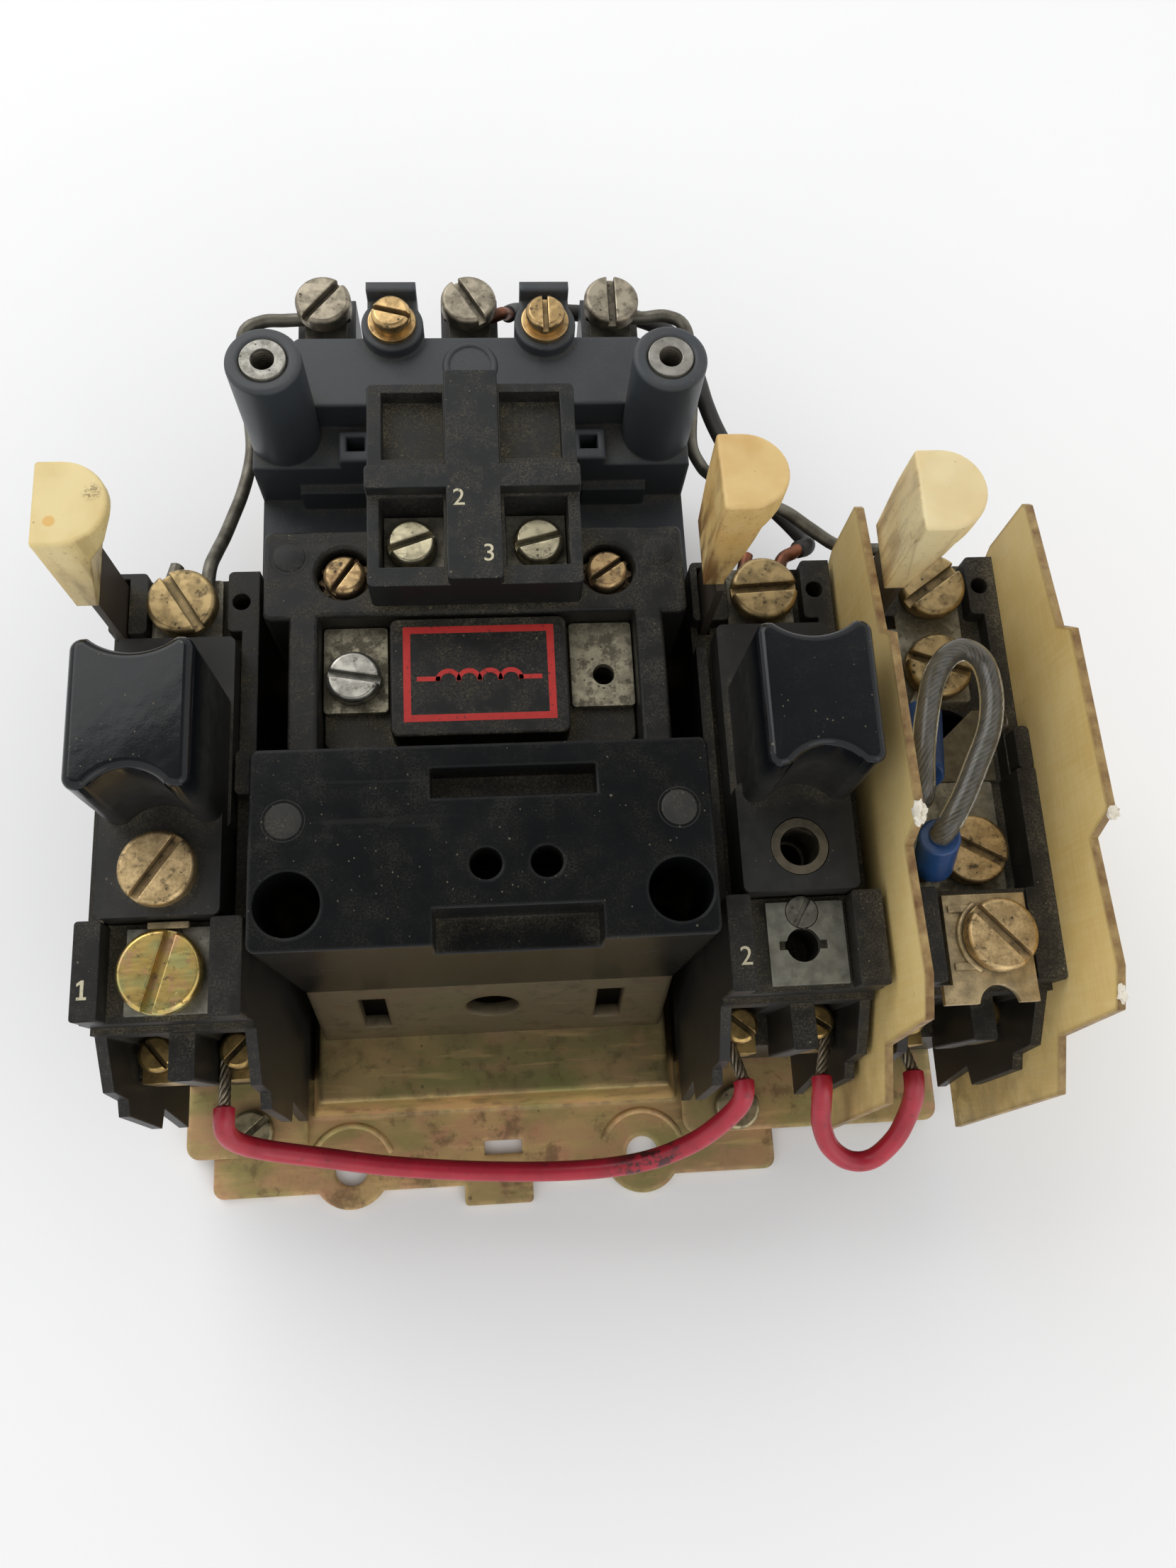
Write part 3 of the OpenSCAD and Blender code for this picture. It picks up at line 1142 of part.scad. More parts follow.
module crimp_sleeves() color(blue) place() {
    rod(upper_sleeve[0], upper_sleeve[1], sleeve_d);
    rod(lower_sleeve[0], lower_sleeve[1], sleeve_d);
}

module ring_lug(x, y, tail) {
    run_l = norm([tail[0] - x, tail[1] - y]);
    difference() {
        union() {
            bore([x, y], lug_d, [relay_plate_z, relay_plate_z + lug_t]);
            translate([x, y, relay_plate_z]) rotate([0, 0, atan2(tail[1] - y, tail[0] - x)])
                translate([0, -1.6, 0]) cube([run_l, 3.2, lug_t]);
        }
        bore([x, y], screw_hole_d, [0, load_z]);
    }
    rod([tail[0], tail[1], relay_plate_z], tail, 3);
}

module crimp_lugs() color(nickel) place() {
    difference() {
        ring_lug(ol_xs[2], heat_up_y, upper_sleeve[0]);
        rod(upper_sleeve[0], upper_sleeve[1], sleeve_d);
    }
    difference() {
        ring_lug(ol_xs[2] + right_dx, -heat_low_y, lower_sleeve[0]);
        rod(lower_sleeve[0], lower_sleeve[1], sleeve_d);
    }
}

base_plate();
overload_foot_left();
overload_foot_right();
mounting_screws();
magnet_bracket();
front_block();
contactor_body();
magnet_core();
armature();
coil();
coil_terminals();
coil_screw();
contact_carrier();
contact_bridges();
contact_springs();
arc_chamber();
post_inserts();
load_straps();
line_straps();
pole_screws();
tower_screws();
aux_block();
aux_plates();
aux_screws();
aux_mount_screws();
overload_housing_left();
overload_housing_centre();
overload_housing_right();
reset_lever_left();
reset_lever_centre();
reset_lever_right();
trip_slide_left();
trip_slide_centre();
trip_slide_right();
reset_spring_left();
reset_spring_centre();
reset_spring_right();
heater_left();
heater_centre();
alloy_spindles();
heater_eyelets();
relay_line_plates();
heater_plates();
relay_power_screws();
load_plates();
load_clip_plate();
flush_screws();
control_clamps();
control_screws();
barrier_inner();
barrier_outer();
power_leads();
centre_lead();
red_leads();
lead_ends();
clear_jumper();
crimp_sleeves();
crimp_lugs();
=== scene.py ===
# Looks of a panel-mounted motor starter: finishes, softened edges, swept leads and small details.
# Lengths are in millimetres and places are measured from the contactor's datum, unless said otherwise.
import math

import bpy
from mathutils import Matrix, Vector, noise


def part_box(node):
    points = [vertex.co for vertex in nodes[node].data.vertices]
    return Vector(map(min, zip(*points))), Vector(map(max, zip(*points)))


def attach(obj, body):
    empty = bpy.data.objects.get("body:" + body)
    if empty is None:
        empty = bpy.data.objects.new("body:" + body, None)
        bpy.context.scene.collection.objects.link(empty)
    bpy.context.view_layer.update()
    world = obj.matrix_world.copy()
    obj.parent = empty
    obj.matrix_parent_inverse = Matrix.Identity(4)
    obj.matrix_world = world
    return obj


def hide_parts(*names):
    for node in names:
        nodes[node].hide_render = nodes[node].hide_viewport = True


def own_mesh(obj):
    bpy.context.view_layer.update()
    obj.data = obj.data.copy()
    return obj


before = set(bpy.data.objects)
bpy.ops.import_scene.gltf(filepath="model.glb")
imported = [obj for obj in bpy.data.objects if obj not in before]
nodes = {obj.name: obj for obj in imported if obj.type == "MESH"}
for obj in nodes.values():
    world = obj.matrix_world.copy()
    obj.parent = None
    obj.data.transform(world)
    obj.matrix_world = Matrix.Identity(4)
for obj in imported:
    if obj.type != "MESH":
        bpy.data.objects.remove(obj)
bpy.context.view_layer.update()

MM = 0.001

# Places and sizes shared with the CAD source
DATUM_Y = 55.0
RELAY_XS = {"left": -44.1, "centre": 44.3, "right": 71.0}
POLE_XS = (-23.5, 0.0, 23.5)
POLE_Y = 81.0
LINE_Y = 28.7
RELAY_REAR = 34.3
CONTROL_X = 6.0
CONTROL_SHANK_R = 1.45
POWER_R = 1.05
POLE_TURN_R = 3.3
RELAY_TURN_R = 3.5
POLE_WIRE_Z = 61.25
RELAY_WIRE_Z = 61.05
RED_R = 1.6
STRAND_R = 0.8
STRAND_GAP = 0.35
STRAND_Z = 42.8
STRAND_Y = (-44.3, -35.4)
JUMPER_R = 1.7
CENTRE_R = 1.4
POST = (29.8, 59.0)
INSERT_R = 1.7
LOAD_Y = -27.0
LOAD_PLATE_Z = 66.0
LOAD_TOP_Z = 69.0
RIGHT_LOAD_X = 72.3
RELAY_DECK_Z = 58.8
HOLE = (26.5, -55.0)
PLATE_Z = 1.5

# Camera found from the photograph
PHOTO_H = 2212.0
FOCAL_PX = 1727.85
CAMERA_AT = (1.49, -50.57, 236.01)
CAMERA_PITCH = math.radians(73.59)
CAMERA_YAW = math.radians(15.74)
CAMERA_ROLL = math.radians(13.19)
SENSOR = 36.0
CLIP = (0.01, 20.0)

# Light and floor, in metres
FLOOR_SIZE = 12.0
FLOOR_Z = -0.00002
FLOOR_COLOUR = (0.93, 0.93, 0.935)
SKY_STRENGTH = 1.03
ZENITH_SHARE = 0.2
ZENITH_COS = (0.80, 0.93)
LAMP_TARGET = (0.0, 0.075, 0.03)
# Power in watts, size and place of each lamp
LAMPS = {"key": (5.5, 1.0, (-0.55, 0.80, 0.95)), "fill": (1.5, 0.8, (0.5, -0.9, 0.5))}

# Shared colours
DUST = (0.20, 0.172, 0.115)
GRIME = (0.035, 0.028, 0.018)
RUST = (0.16, 0.055, 0.018)
WORN_BLACK = (0.04, 0.038, 0.035)

# Shared settings of the finishes
UP = (0.0, 0.0, 1.0)
RIGHT = (1.0, 0.0, 0.0)
LEFT = (-1.0, 0.0, 0.0)
ALONG_X, ALONG_Y, ALONG_Z = 0, 1, 2
HOLLOW_SAMPLES = 6
ROUND_SAMPLES = 4
SPECK_SOFT = 0.06


def at(x, y, z):
    """A place measured from the datum, as a point of the row frame in metres."""
    return Vector((x, y + DATUM_Y, z)) * MM


def scaled(colour, share):
    return tuple(share * c for c in colour)


def settled(item, **settings):
    for key, value in settings.items():
        setattr(item, key, value)
    return item


# Finishes
class Finish:
    """A Principled material and the node helpers that the finishes share."""

    def __init__(self, name, metallic=0.0, specular=0.5):
        self.material = bpy.data.materials.new(name)
        self.material.use_nodes = True
        self.tree = self.material.node_tree
        self.shader = self.tree.nodes["Principled BSDF"]
        self.body = None
        self.set("Metallic", metallic)
        self.set("Specular IOR Level", specular)
        self.normal = self.add("ShaderNodeNewGeometry").outputs["Normal"]
        place = self.add("ShaderNodeTexCoord").outputs["Object"]
        self.place = self.vector("SCALE", {0: place, "Scale": 1.0 / MM}).outputs[0]

    def add(self, kind, inputs=None, **settings):
        """A node with its settings and inputs, which are values or outputs to link."""
        node = settled(self.tree.nodes.new(kind), **settings)
        for key, value in (inputs or {}).items():
            self.put(node.inputs[key], value)
        return node

    def put(self, socket, value):
        if isinstance(value, bpy.types.NodeSocket):
            self.tree.links.new(value, socket)
        elif isinstance(value, tuple) and len(socket.default_value) == 4:
            socket.default_value = (*value, 1.0)
        else:
            socket.default_value = value

    def set(self, name, value):
        self.put(self.shader.inputs[name], value)

    def vector(self, operation, inputs):
        return self.add("ShaderNodeVectorMath", inputs, operation=operation)

    def dot(self, a, b):
        return self.vector("DOT_PRODUCT", {0: a, 1: b}).outputs["Value"]

    def math(self, operation, a, b):
        clamped = operation in ("ADD", "MULTIPLY")
        return self.add("ShaderNodeMath", {0: a, 1: b}, operation=operation, use_clamp=clamped).outputs[0]

    def times(self, product, *others):
        for value in others:
            product = self.math("MULTIPLY", product, value)
        return product

    def plus(self, total, *others):
        for value in others:
            total = self.math("ADD", total, value)
        return total

    def inverse(self, value):
        return self.math("SUBTRACT", 1.0, value)

    def mix(self, factor, a, b):
        return self.add("ShaderNodeMix", {0: factor, 6: a, 7: b}, data_type="RGBA").outputs[2]

    def range(self, factor, low, high):
        limits = {"Value": factor, "To Min": low, "To Max": high}
        return self.add("ShaderNodeMapRange", limits).outputs["Result"]

    def step(self, value, low, high, top=1.0):
        limits = {"Value": value, "From Min": low, "From Max": high, "To Max": top}
        return self.add("ShaderNodeMapRange", limits, interpolation_type="SMOOTHSTEP").outputs["Result"]

    def noise(self, size, detail=3.0, stretch=(1.0, 1.0, 1.0), roughness=0.55):
        stretched = self.vector("MULTIPLY", {0: self.place, 1: scaled(stretch, 1.0 / size)}).outputs[0]
        inputs = {"Vector": stretched, "Scale": 1.0, "Detail": detail, "Roughness": roughness}
        return self.add("ShaderNodeTexNoise", inputs).outputs[0]

    def blots(self, low, high, *grain, **shape):
        """Noise that grows from none at low to full at high."""
        return self.step(self.noise(*grain, **shape), low, high)

    def specks(self, cell, radius, share):
        """Round specks in a share of the cells, each of its own size."""
        node = self.add("ShaderNodeTexVoronoi", {"Vector": self.place, "Scale": 1.0 / cell})
        parts = self.add("ShaderNodeSeparateColor", {0: node.outputs["Color"]})
        size = self.step(parts.outputs[0], 1.0 - share, 1.0, radius / cell)
        return self.step(self.math("SUBTRACT", size, node.outputs["Distance"]), 0.0, SPECK_SOFT)

    def facing(self, direction, low=0.5, high=0.95):
        return self.step(self.dot(self.normal, direction), low, high)

    def hollow(self, reach, low=0.25, high=0.75):
        """Grows where other surfaces stand close, as in corners and wells."""
        node = self.add("ShaderNodeAmbientOcclusion", {"Distance": reach * MM}, samples=HOLLOW_SAMPLES)
        return self.step(self.inverse(node.outputs["AO"]), low, high)

    def rounded(self, radius):
        """The normal as if sharp edges and bends were rounded."""
        return self.add("ShaderNodeBevel", {"Radius": radius * MM}, samples=ROUND_SAMPLES).outputs[0]

    def rim(self, width, low=0.02, high=0.25):
        """Grows along sharp edges."""
        return self.step(self.inverse(self.dot(self.rounded(width), self.normal)), low, high)

    def part(self, axis, low, high):
        """Grows from low to high along an axis of the row frame."""
        return self.step(self.add("ShaderNodeSeparateXYZ", {0: self.place}).outputs[axis], low, high)

    def spot(self, centre, radius, soft):
        x, y, z = centre
        node = self.vector("DISTANCE", {0: self.place, 1: (x, y + DATUM_Y, z)})
        return self.inverse(self.step(node.outputs["Value"], radius - soft, radius + soft))

    def bump(self, height, depth):
        node = self.add("ShaderNodeBump", {"Strength": 1.0, "Distance": depth * MM, "Height": height})
        normal = self.shader.inputs["Normal"]
        if normal.is_linked:
            self.put(node.inputs["Normal"], normal.links[0].from_socket)
        self.set("Normal", node.outputs[0])

    def translucent(self, weight, radius, scale):
        self.set("Subsurface Weight", weight)
        self.set("Subsurface Radius", radius)
        self.set("Subsurface Scale", scale * MM)

    def dust(self, amount, film=0.1, reach=4.0):
        """Grains that lie thinly on upward faces and are packed in hollows."""
        lying = self.facing(UP, 0.3, 0.9)
        grains = self.blots(0.42, 0.68, 0.3, 5.0, roughness=0.75)
        patches = self.blots(0.38, 0.72, 5.0, 6.0, roughness=0.65)
        packed = self.times(self.hollow(reach, 0.12, 0.6), self.range(patches, 0.35, 1.0))
        loose = self.plus(self.specks(0.7, 0.14, 0.3), self.specks(1.7, 0.24, 0.25))
        thin = self.plus(self.times(patches, grains, film), self.times(loose, 0.6))
        lain = self.times(lying, self.plus(thin, self.times(packed, self.range(grains, 0.3, 0.95))))
        return self.times(self.plus(lain, self.times(packed, grains, 0.4)), amount)

    def cover(self, share, colour):
        """Lays a colour over a share of the body."""
        self.body = self.mix(share, self.body, colour)

    def made(self, roughness, *bumps):
        """The material with the body's colour, its roughness and bumps, each a height and a depth."""
        self.set("Base Color", self.body)
        self.set("Roughness", roughness)
        for height, depth in bumps:
            self.bump(height, depth)
        return self.material


def phenolic(name, dust, colour, gloss=0.4, film=0.3, specular=0.25, reach=4.0, rounded=0.0):
    f = Finish(name, specular=specular)
    if rounded:
        f.set("Normal", f.rounded(rounded))
    smear = f.noise(13.0, 5.0)
    worn = f.times(f.rim(0.5), f.blots(0.42, 0.66, 1.3, 4.0), 0.6)
    scratch = f.blots(0.68, 0.74, 2.6, 2.0, (0.06, 1.0, 1.0))
    f.body = f.mix(smear, scaled(colour, 0.8), scaled(colour, 1.3))
    f.cover(worn, WORN_BLACK)
    f.cover(f.times(scratch, 0.2), WORN_BLACK)
    lying = f.dust(dust, film, reach)
    rough = f.plus(f.range(smear, gloss - 0.06, gloss + 0.12), f.times(lying, 0.6))
    f.cover(lying, DUST)
    return f.made(rough, (f.noise(0.5, 3.0), 0.008), (lying, 0.08))


def gloss_phenolic():
    f = Finish("gloss_black", specular=0.27)
    smear = f.noise(6.0, 5.0)
    lying = f.dust(0.8, 0.06)
    coat = f.inverse(f.part(ALONG_Z, 79.0, 87.0))
    coat = f.times(coat, f.range(f.noise(2.2, 5.0), 0.25, 1.1))
    f.body = f.mix(smear, (0.0050, 0.0058, 0.0072), (0.0080, 0.0090, 0.0105))
    f.cover(f.times(coat, 0.75), (0.035, 0.034, 0.031))
    rough = f.plus(f.range(smear, 0.06, 0.14), f.times(f.plus(lying, coat), 0.5))
    f.cover(lying, DUST)
    return f.made(rough, (f.noise(4.5, 2.0), 0.03), (f.noise(0.3, 2.0), 0.003))


def chromate(name, gold, olive, pink, rough):
    """Zinc under yellow chromate: warm on the flat sheet, duller and greener where it is drawn up, with
    painted shade that darkens it towards the right.
    """
    f = Finish(name)
    f.set("Normal", f.rounded(1.4))
    cloud = f.noise(7.0, 5.0)
    streak = f.noise(1.6, 3.0, (0.12, 1.0, 1.0))
    raised = f.part(ALONG_Z, 3.0, 8.0)
    # Painted shade: the colour shifts towards olive from left to right, for light that falls from the
    # left.
    darker_tone = f.times(f.part(ALONG_X, -30.0, 60.0), 0.4)
    drift = f.times(f.blots(0.38, 0.62, 24.0, 3.0), 0.5)
    f.body = f.mix(f.plus(drift, f.times(raised, 0.4), darker_tone), gold, olive)
    rose = f.times(f.blots(0.46, 0.62, 5.0, 4.0, (0.35, 1.0, 1.0)), 0.6)
    rose = f.plus(f.step(cloud, 0.5, 0.7), rose)
    f.cover(f.times(rose, f.range(raised, 0.8, 0.35)), pink)
    leaf = f.times(f.blots(0.52, 0.66, 9.0, 4.0, (0.5, 1.0, 1.0)), 0.5)
    f.cover(leaf, (0.85 * olive[0], 1.12 * olive[1], 0.8 * olive[2]))
    blotch = f.times(f.blots(0.5, 0.68, 3.2, 6.0, roughness=0.7), f.range(raised, 0.15, 0.55))
    f.cover(blotch, scaled(olive, 0.4))
    edged = f.times(f.rim(2.2, 0.02, 0.3), f.blots(0.42, 0.62, 2.2, 5.0), 0.6)
    f.cover(edged, (0.13, 0.085, 0.04))
    f.cover(f.times(f.step(streak, 0.55, 0.75), 0.35), scaled(gold, 1.35))
    pooled = f.times(f.hollow(5.0), f.step(cloud, 0.35, 0.6), 0.7)
    stain = f.plus(f.times(f.specks(2.6, 0.5, 0.12), 0.6), pooled)
    f.cover(stain, (0.075, 0.055, 0.025))
    tide = f.times(f.blots(0.53, 0.64, 6.0, 6.0, roughness=0.68), f.range(raised, 0.6, 0.25))
    f.cover(tide, (0.17, 0.10, 0.05))
    film = f.dust(0.6, 0.3, 5.0)
    clean = f.range(f.plus(film, f.times(stain, 0.6)), 0.75, 0.1)
    f.set("Metallic", f.times(clean, f.range(raised, 0.6, 1.0)))
    rough = f.plus(f.range(cloud, rough - 0.1, rough + 0.12), f.times(film, 0.5))
    f.cover(film, DUST)
    return f.made(rough, (f.noise(0.6, 4.0), 0.012), (streak, 0.01))


def screw_metal(name, colour, dirt, rough, rust=0.0, bright=None):
    """Turned metal that has tarnished. A bright place has one head kept clean and iridescent."""
    f = Finish(name)
    cloud = f.noise(2.4, 5.0)
    turned = f.noise(0.7, 3.0, (0.25, 1.0, 1.0))
    dull = f.step(cloud, 0.38, 0.6)
    f.body = f.mix(dull, colour, scaled(colour, 0.6))
    if bright:
        front = f.inverse(f.part(ALONG_Y, 60.0, 70.0))
        cleaner = f.mix(dull, (0.72, 0.53, 0.28), (0.47, 0.34, 0.17))
        patina = f.times(f.blots(0.44, 0.68, 0.45, 5.0, roughness=0.75), 0.55)
        f.cover(front, f.mix(patina, cleaner, (0.25, 0.175, 0.09)))
        smooth = f.spot(bright, 6.4, 0.2)
        hue = f.mix(f.blots(0.4, 0.62, 3.4, 3.0), (0.64, 0.45, 0.13), (0.48, 0.46, 0.17))
        hue = f.mix(f.times(f.blots(0.52, 0.68, 2.6, 4.0), 0.7), hue, (0.62, 0.31, 0.20))
        f.cover(f.times(smooth, 0.85), hue)
    f.cover(f.times(f.rim(0.3), 0.6), tuple(min(0.9, 1.45 * c) for c in colour))
    crust = f.times(f.blots(0.5, 0.66, 1.1, 6.0, roughness=0.7), f.step(cloud, 0.4, 0.6), dirt)
    f.cover(crust, (0.07, 0.052, 0.032))
    spots = f.times(f.specks(0.9, 0.3, 0.3), f.step(cloud, 0.42, 0.62))
    spots = f.plus(spots, f.times(f.hollow(1.6, 0.3, 0.7), 0.9))
    spots = f.plus(f.times(spots, dirt * 1.5), f.times(crust, 0.5))
    if bright:
        spots = f.times(spots, f.inverse(f.times(smooth, 0.6)))
    f.cover(spots, GRIME)
    if rust:
        rusty = f.times(f.blots(0.56 - 0.3 * rust, 0.78 - 0.3 * rust, 1.2, 5.0), min(1.0, 2.0 * rust))
        f.cover(rusty, RUST)
        spots = f.plus(spots, rusty)
    f.set("Metallic", f.range(spots, 0.95, 0.15))
    worn = f.plus(f.range(turned, rough - 0.1, rough + 0.14), f.times(spots, 0.35))
    if bright:
        worn = f.math("SUBTRACT", worn, f.times(smooth, 0.16))
    return f.made(worn, (turned, 0.015), (spots, 0.03))


def plated(name, colour, dust, rough=0.42, pits=0.4, soil=0.3):
    f = Finish(name)
    grain = f.noise(0.45, 3.0, (1.0, 0.2, 1.0))
    pit = f.times(f.specks(0.7, 0.2, 0.35), pits)
    f.body = f.mix(f.blots(0.35, 0.68, 2.0, 5.0), colour, scaled(colour, 0.62))
    f.cover(pit, GRIME)
    film = f.plus(f.dust(dust, 0.4, 2.5), f.times(f.hollow(1.6), 0.4))
    film = f.plus(film, f.times(f.blots(0.46, 0.6, 1.9, 6.0, roughness=0.72), soil))
    f.set("Metallic", f.range(f.plus(film, pit), 0.92, 0.1))
    rough = f.plus(f.range(grain, rough - 0.08, rough + 0.14), f.times(film, 0.4))
    f.cover(film, scaled(DUST, 0.55))
    return f.made(rough, (grain, 0.012), (pit, 0.03))


def lamination():
    f = Finish("laminated_steel", metallic=0.9)
    layers = f.noise(0.5, 0.0, (0.02, 0.02, 1.0))
    cloud = f.noise(4.0, 4.0)
    f.body = f.mix(f.step(layers, 0.45, 0.6), (0.11, 0.10, 0.095), (0.04, 0.036, 0.033))
    f.cover(f.times(f.step(cloud, 0.5, 0.7), 0.5), RUST)
    return f.made(f.range(cloud, 0.4, 0.65), (layers, 0.05))


def ivory(name, colour, darker_tone, soil, scuff=None, gate=None):
    f = Finish(name, specular=0.45)
    f.set("Normal", f.rounded(0.5))
    streak = f.noise(2.4, 5.0, (1.0, 1.0, 0.22))
    f.body = f.mix(f.blots(0.3, 0.7, 9.0, 3.0), colour, darker_tone)
    sides = f.inverse(f.facing(UP, 0.5, 0.9))
    worn = f.plus(f.times(f.rim(0.9), 0.7), f.times(sides, 0.34))
    scored = f.times(f.step(streak, 0.46, 0.7), worn)
    soot = f.times(f.rim(1.1, 0.02, 0.5), f.blots(0.45, 0.7, 0.7, 6.0, roughness=0.75), 0.6)
    low = f.times(f.inverse(f.part(ALONG_Z, 70.0, 91.0)), f.step(streak, 0.36, 0.6), soil)
    f.cover(f.plus(scored, soot, low), (0.20, 0.105, 0.035))
    flecks = f.times(f.blots(0.56, 0.7, 0.8, 6.0, roughness=0.75), sides, 0.35 + 0.5 * soil)
    f.cover(flecks, (0.22, 0.115, 0.04))
    f.cover(f.times(f.specks(1.1, 0.2, 0.16), 0.5), (0.14, 0.08, 0.03))
    f.cover(f.times(f.specks(0.5, 0.07, 0.3), 0.5), (0.16, 0.10, 0.04))
    if gate:
        f.cover(f.times(f.spot(gate, 0.75, 0.14), 0.8), (0.70, 0.40, 0.085))
    if scuff:
        torn = f.times(f.spot(scuff, 1.0, 0.6), f.blots(0.45, 0.58, 0.45, 6.0, roughness=0.75), 0.8)
        f.cover(torn, (0.17, 0.10, 0.04))
    f.translucent(0.25, (1.0, 0.6, 0.25), 2.0)
    return f.made(f.range(f.noise(1.4, 4.0), 0.34, 0.56), (streak, 0.05), (f.noise(0.3, 3.0), 0.012))


def fibre_sheet():
    f = Finish("fibre_sheet", specular=0.35)
    warp = f.noise(0.55, 1.0, (1.0, 1.0, 0.06))
    weft = f.noise(0.55, 1.0, (1.0, 0.06, 1.0))
    weave = f.plus(f.times(warp, 0.5), f.times(weft, 0.5))
    cloud = f.noise(16.0, 4.0)
    f.body = f.mix(f.step(cloud, 0.3, 0.7), (0.72, 0.55, 0.235), (0.64, 0.46, 0.17))
    f.cover(f.times(f.step(weave, 0.42, 0.62), 0.22), (0.76, 0.64, 0.34))
    cut = f.inverse(f.plus(f.facing(RIGHT, 0.3, 0.8), f.facing(LEFT, 0.3, 0.8)))
    burnt = f.times(f.plus(f.rim(1.3, 0.01, 0.25), cut), f.range(f.noise(2.5, 5.0), 0.25, 1.3))
    f.cover(burnt, (0.13, 0.06, 0.02))
    soiled = f.times(f.inverse(f.part(ALONG_Z, 35.0, 80.0)), f.blots(0.34, 0.66, 5.0, 5.0), 0.4)
    f.cover(soiled, (0.26, 0.18, 0.075))
    marks = f.plus(f.times(f.specks(2.4, 0.3, 0.1), 0.6), f.times(f.blots(0.66, 0.8, 2.0, 6.0), 0.4))
    f.cover(marks, (0.22, 0.14, 0.05))
    foot = f.times(f.inverse(f.part(ALONG_Z, 12.0, 26.0)), f.blots(0.4, 0.66, 3.0, 5.0), 0.6)
    f.translucent(0.12, (1.0, 0.7, 0.35), 1.0)
    f.cover(foot, (0.14, 0.09, 0.03))
    return f.made(f.range(cloud, 0.42, 0.6), (weave, 0.035))


def insulation(name, colour, dark, rough, smudge=None):
    f = Finish(name, specular=0.45)
    cloud = f.noise(5.0, 4.0)
    f.body = f.mix(f.step(cloud, 0.3, 0.7), colour, dark)
    dirt = f.times(f.blots(0.58, 0.74, 1.5, 6.0), 0.5)
    if smudge:
        dirt = f.plus(dirt, f.times(f.spot(smudge, 6.0, 4.0), f.blots(0.44, 0.58, 1.6, 5.0), 0.9))
    f.cover(dirt, (0.03, 0.012, 0.012))
    return f.made(f.range(cloud, rough - 0.06, rough + 0.14), (f.noise(0.8, 3.0), 0.02))


def bare_wire(name, colour, tarnish, rough=0.42):
    f = Finish(name, metallic=0.85)
    f.body = f.mix(f.blots(0.38, 0.66, 3.0, 5.0), colour, tarnish)
    f.cover(f.times(f.hollow(1.0, 0.3, 0.8), 0.7), GRIME)
    return f.made(f.range(f.noise(0.8, 4.0), rough - 0.1, rough + 0.16), (f.noise(0.5, 4.0), 0.03))


def clear_tube():
    f = Finish("clear_tube")
    f.body = f.mix(f.noise(4.0, 4.0), (0.80, 0.78, 0.70), (0.62, 0.59, 0.50))
    f.set("Transmission Weight", f.range(f.noise(1.5, 5.0), 1.0, 0.86))
    f.set("IOR", 1.4)
    return f.made(f.range(f.noise(1.2, 4.0), 0.02, 0.16), (f.noise(1.0, 3.0), 0.02))


def ink(name, colour, bare):
    """Printed or filled marks, worn through in places."""
    f = Finish(name, specular=0.3)
    wear = f.plus(f.blots(0.6, 0.7, 0.7, 5.0), f.times(f.specks(0.5, 0.12, 0.25), 0.7))
    tone = f.mix(f.noise(2.0, 4.0), colour, scaled(colour, 0.7))
    f.body = f.mix(f.times(wear, 0.8), tone, bare)
    return f.made(f.range(f.noise(0.6, 3.0), 0.45, 0.7), (f.noise(0.4, 3.0), 0.01))


def torn_fibre():
    f = Finish("torn_fibre", specular=0.2)
    f.body = f.mix(f.noise(0.8, 5.0), (0.86, 0.83, 0.76), (0.70, 0.63, 0.48))
    return f.made(f.range(f.noise(0.4, 3.0), 0.7, 0.95), (f.noise(0.25, 4.0), 0.1))


def floor_paint():
    f = Finish("floor_white", specular=0.2)
    f.body = f.mix(f.noise(60.0, 4.0), FLOOR_COLOUR, scaled(FLOOR_COLOUR, 0.97))
    return f.made(f.range(f.noise(8.0, 3.0), 0.55, 0.7))


# Places of single marks
LEFT_HEAD = (RELAY_XS["left"], LOAD_Y, 67.5)
LEFT_SCUFF = (-48.1, 30.7, 93.0)
LEFT_GATE = (-53.2, 26.7, 93.0)
RED_SMUDGE = (24.0, -56.0, 31.0)

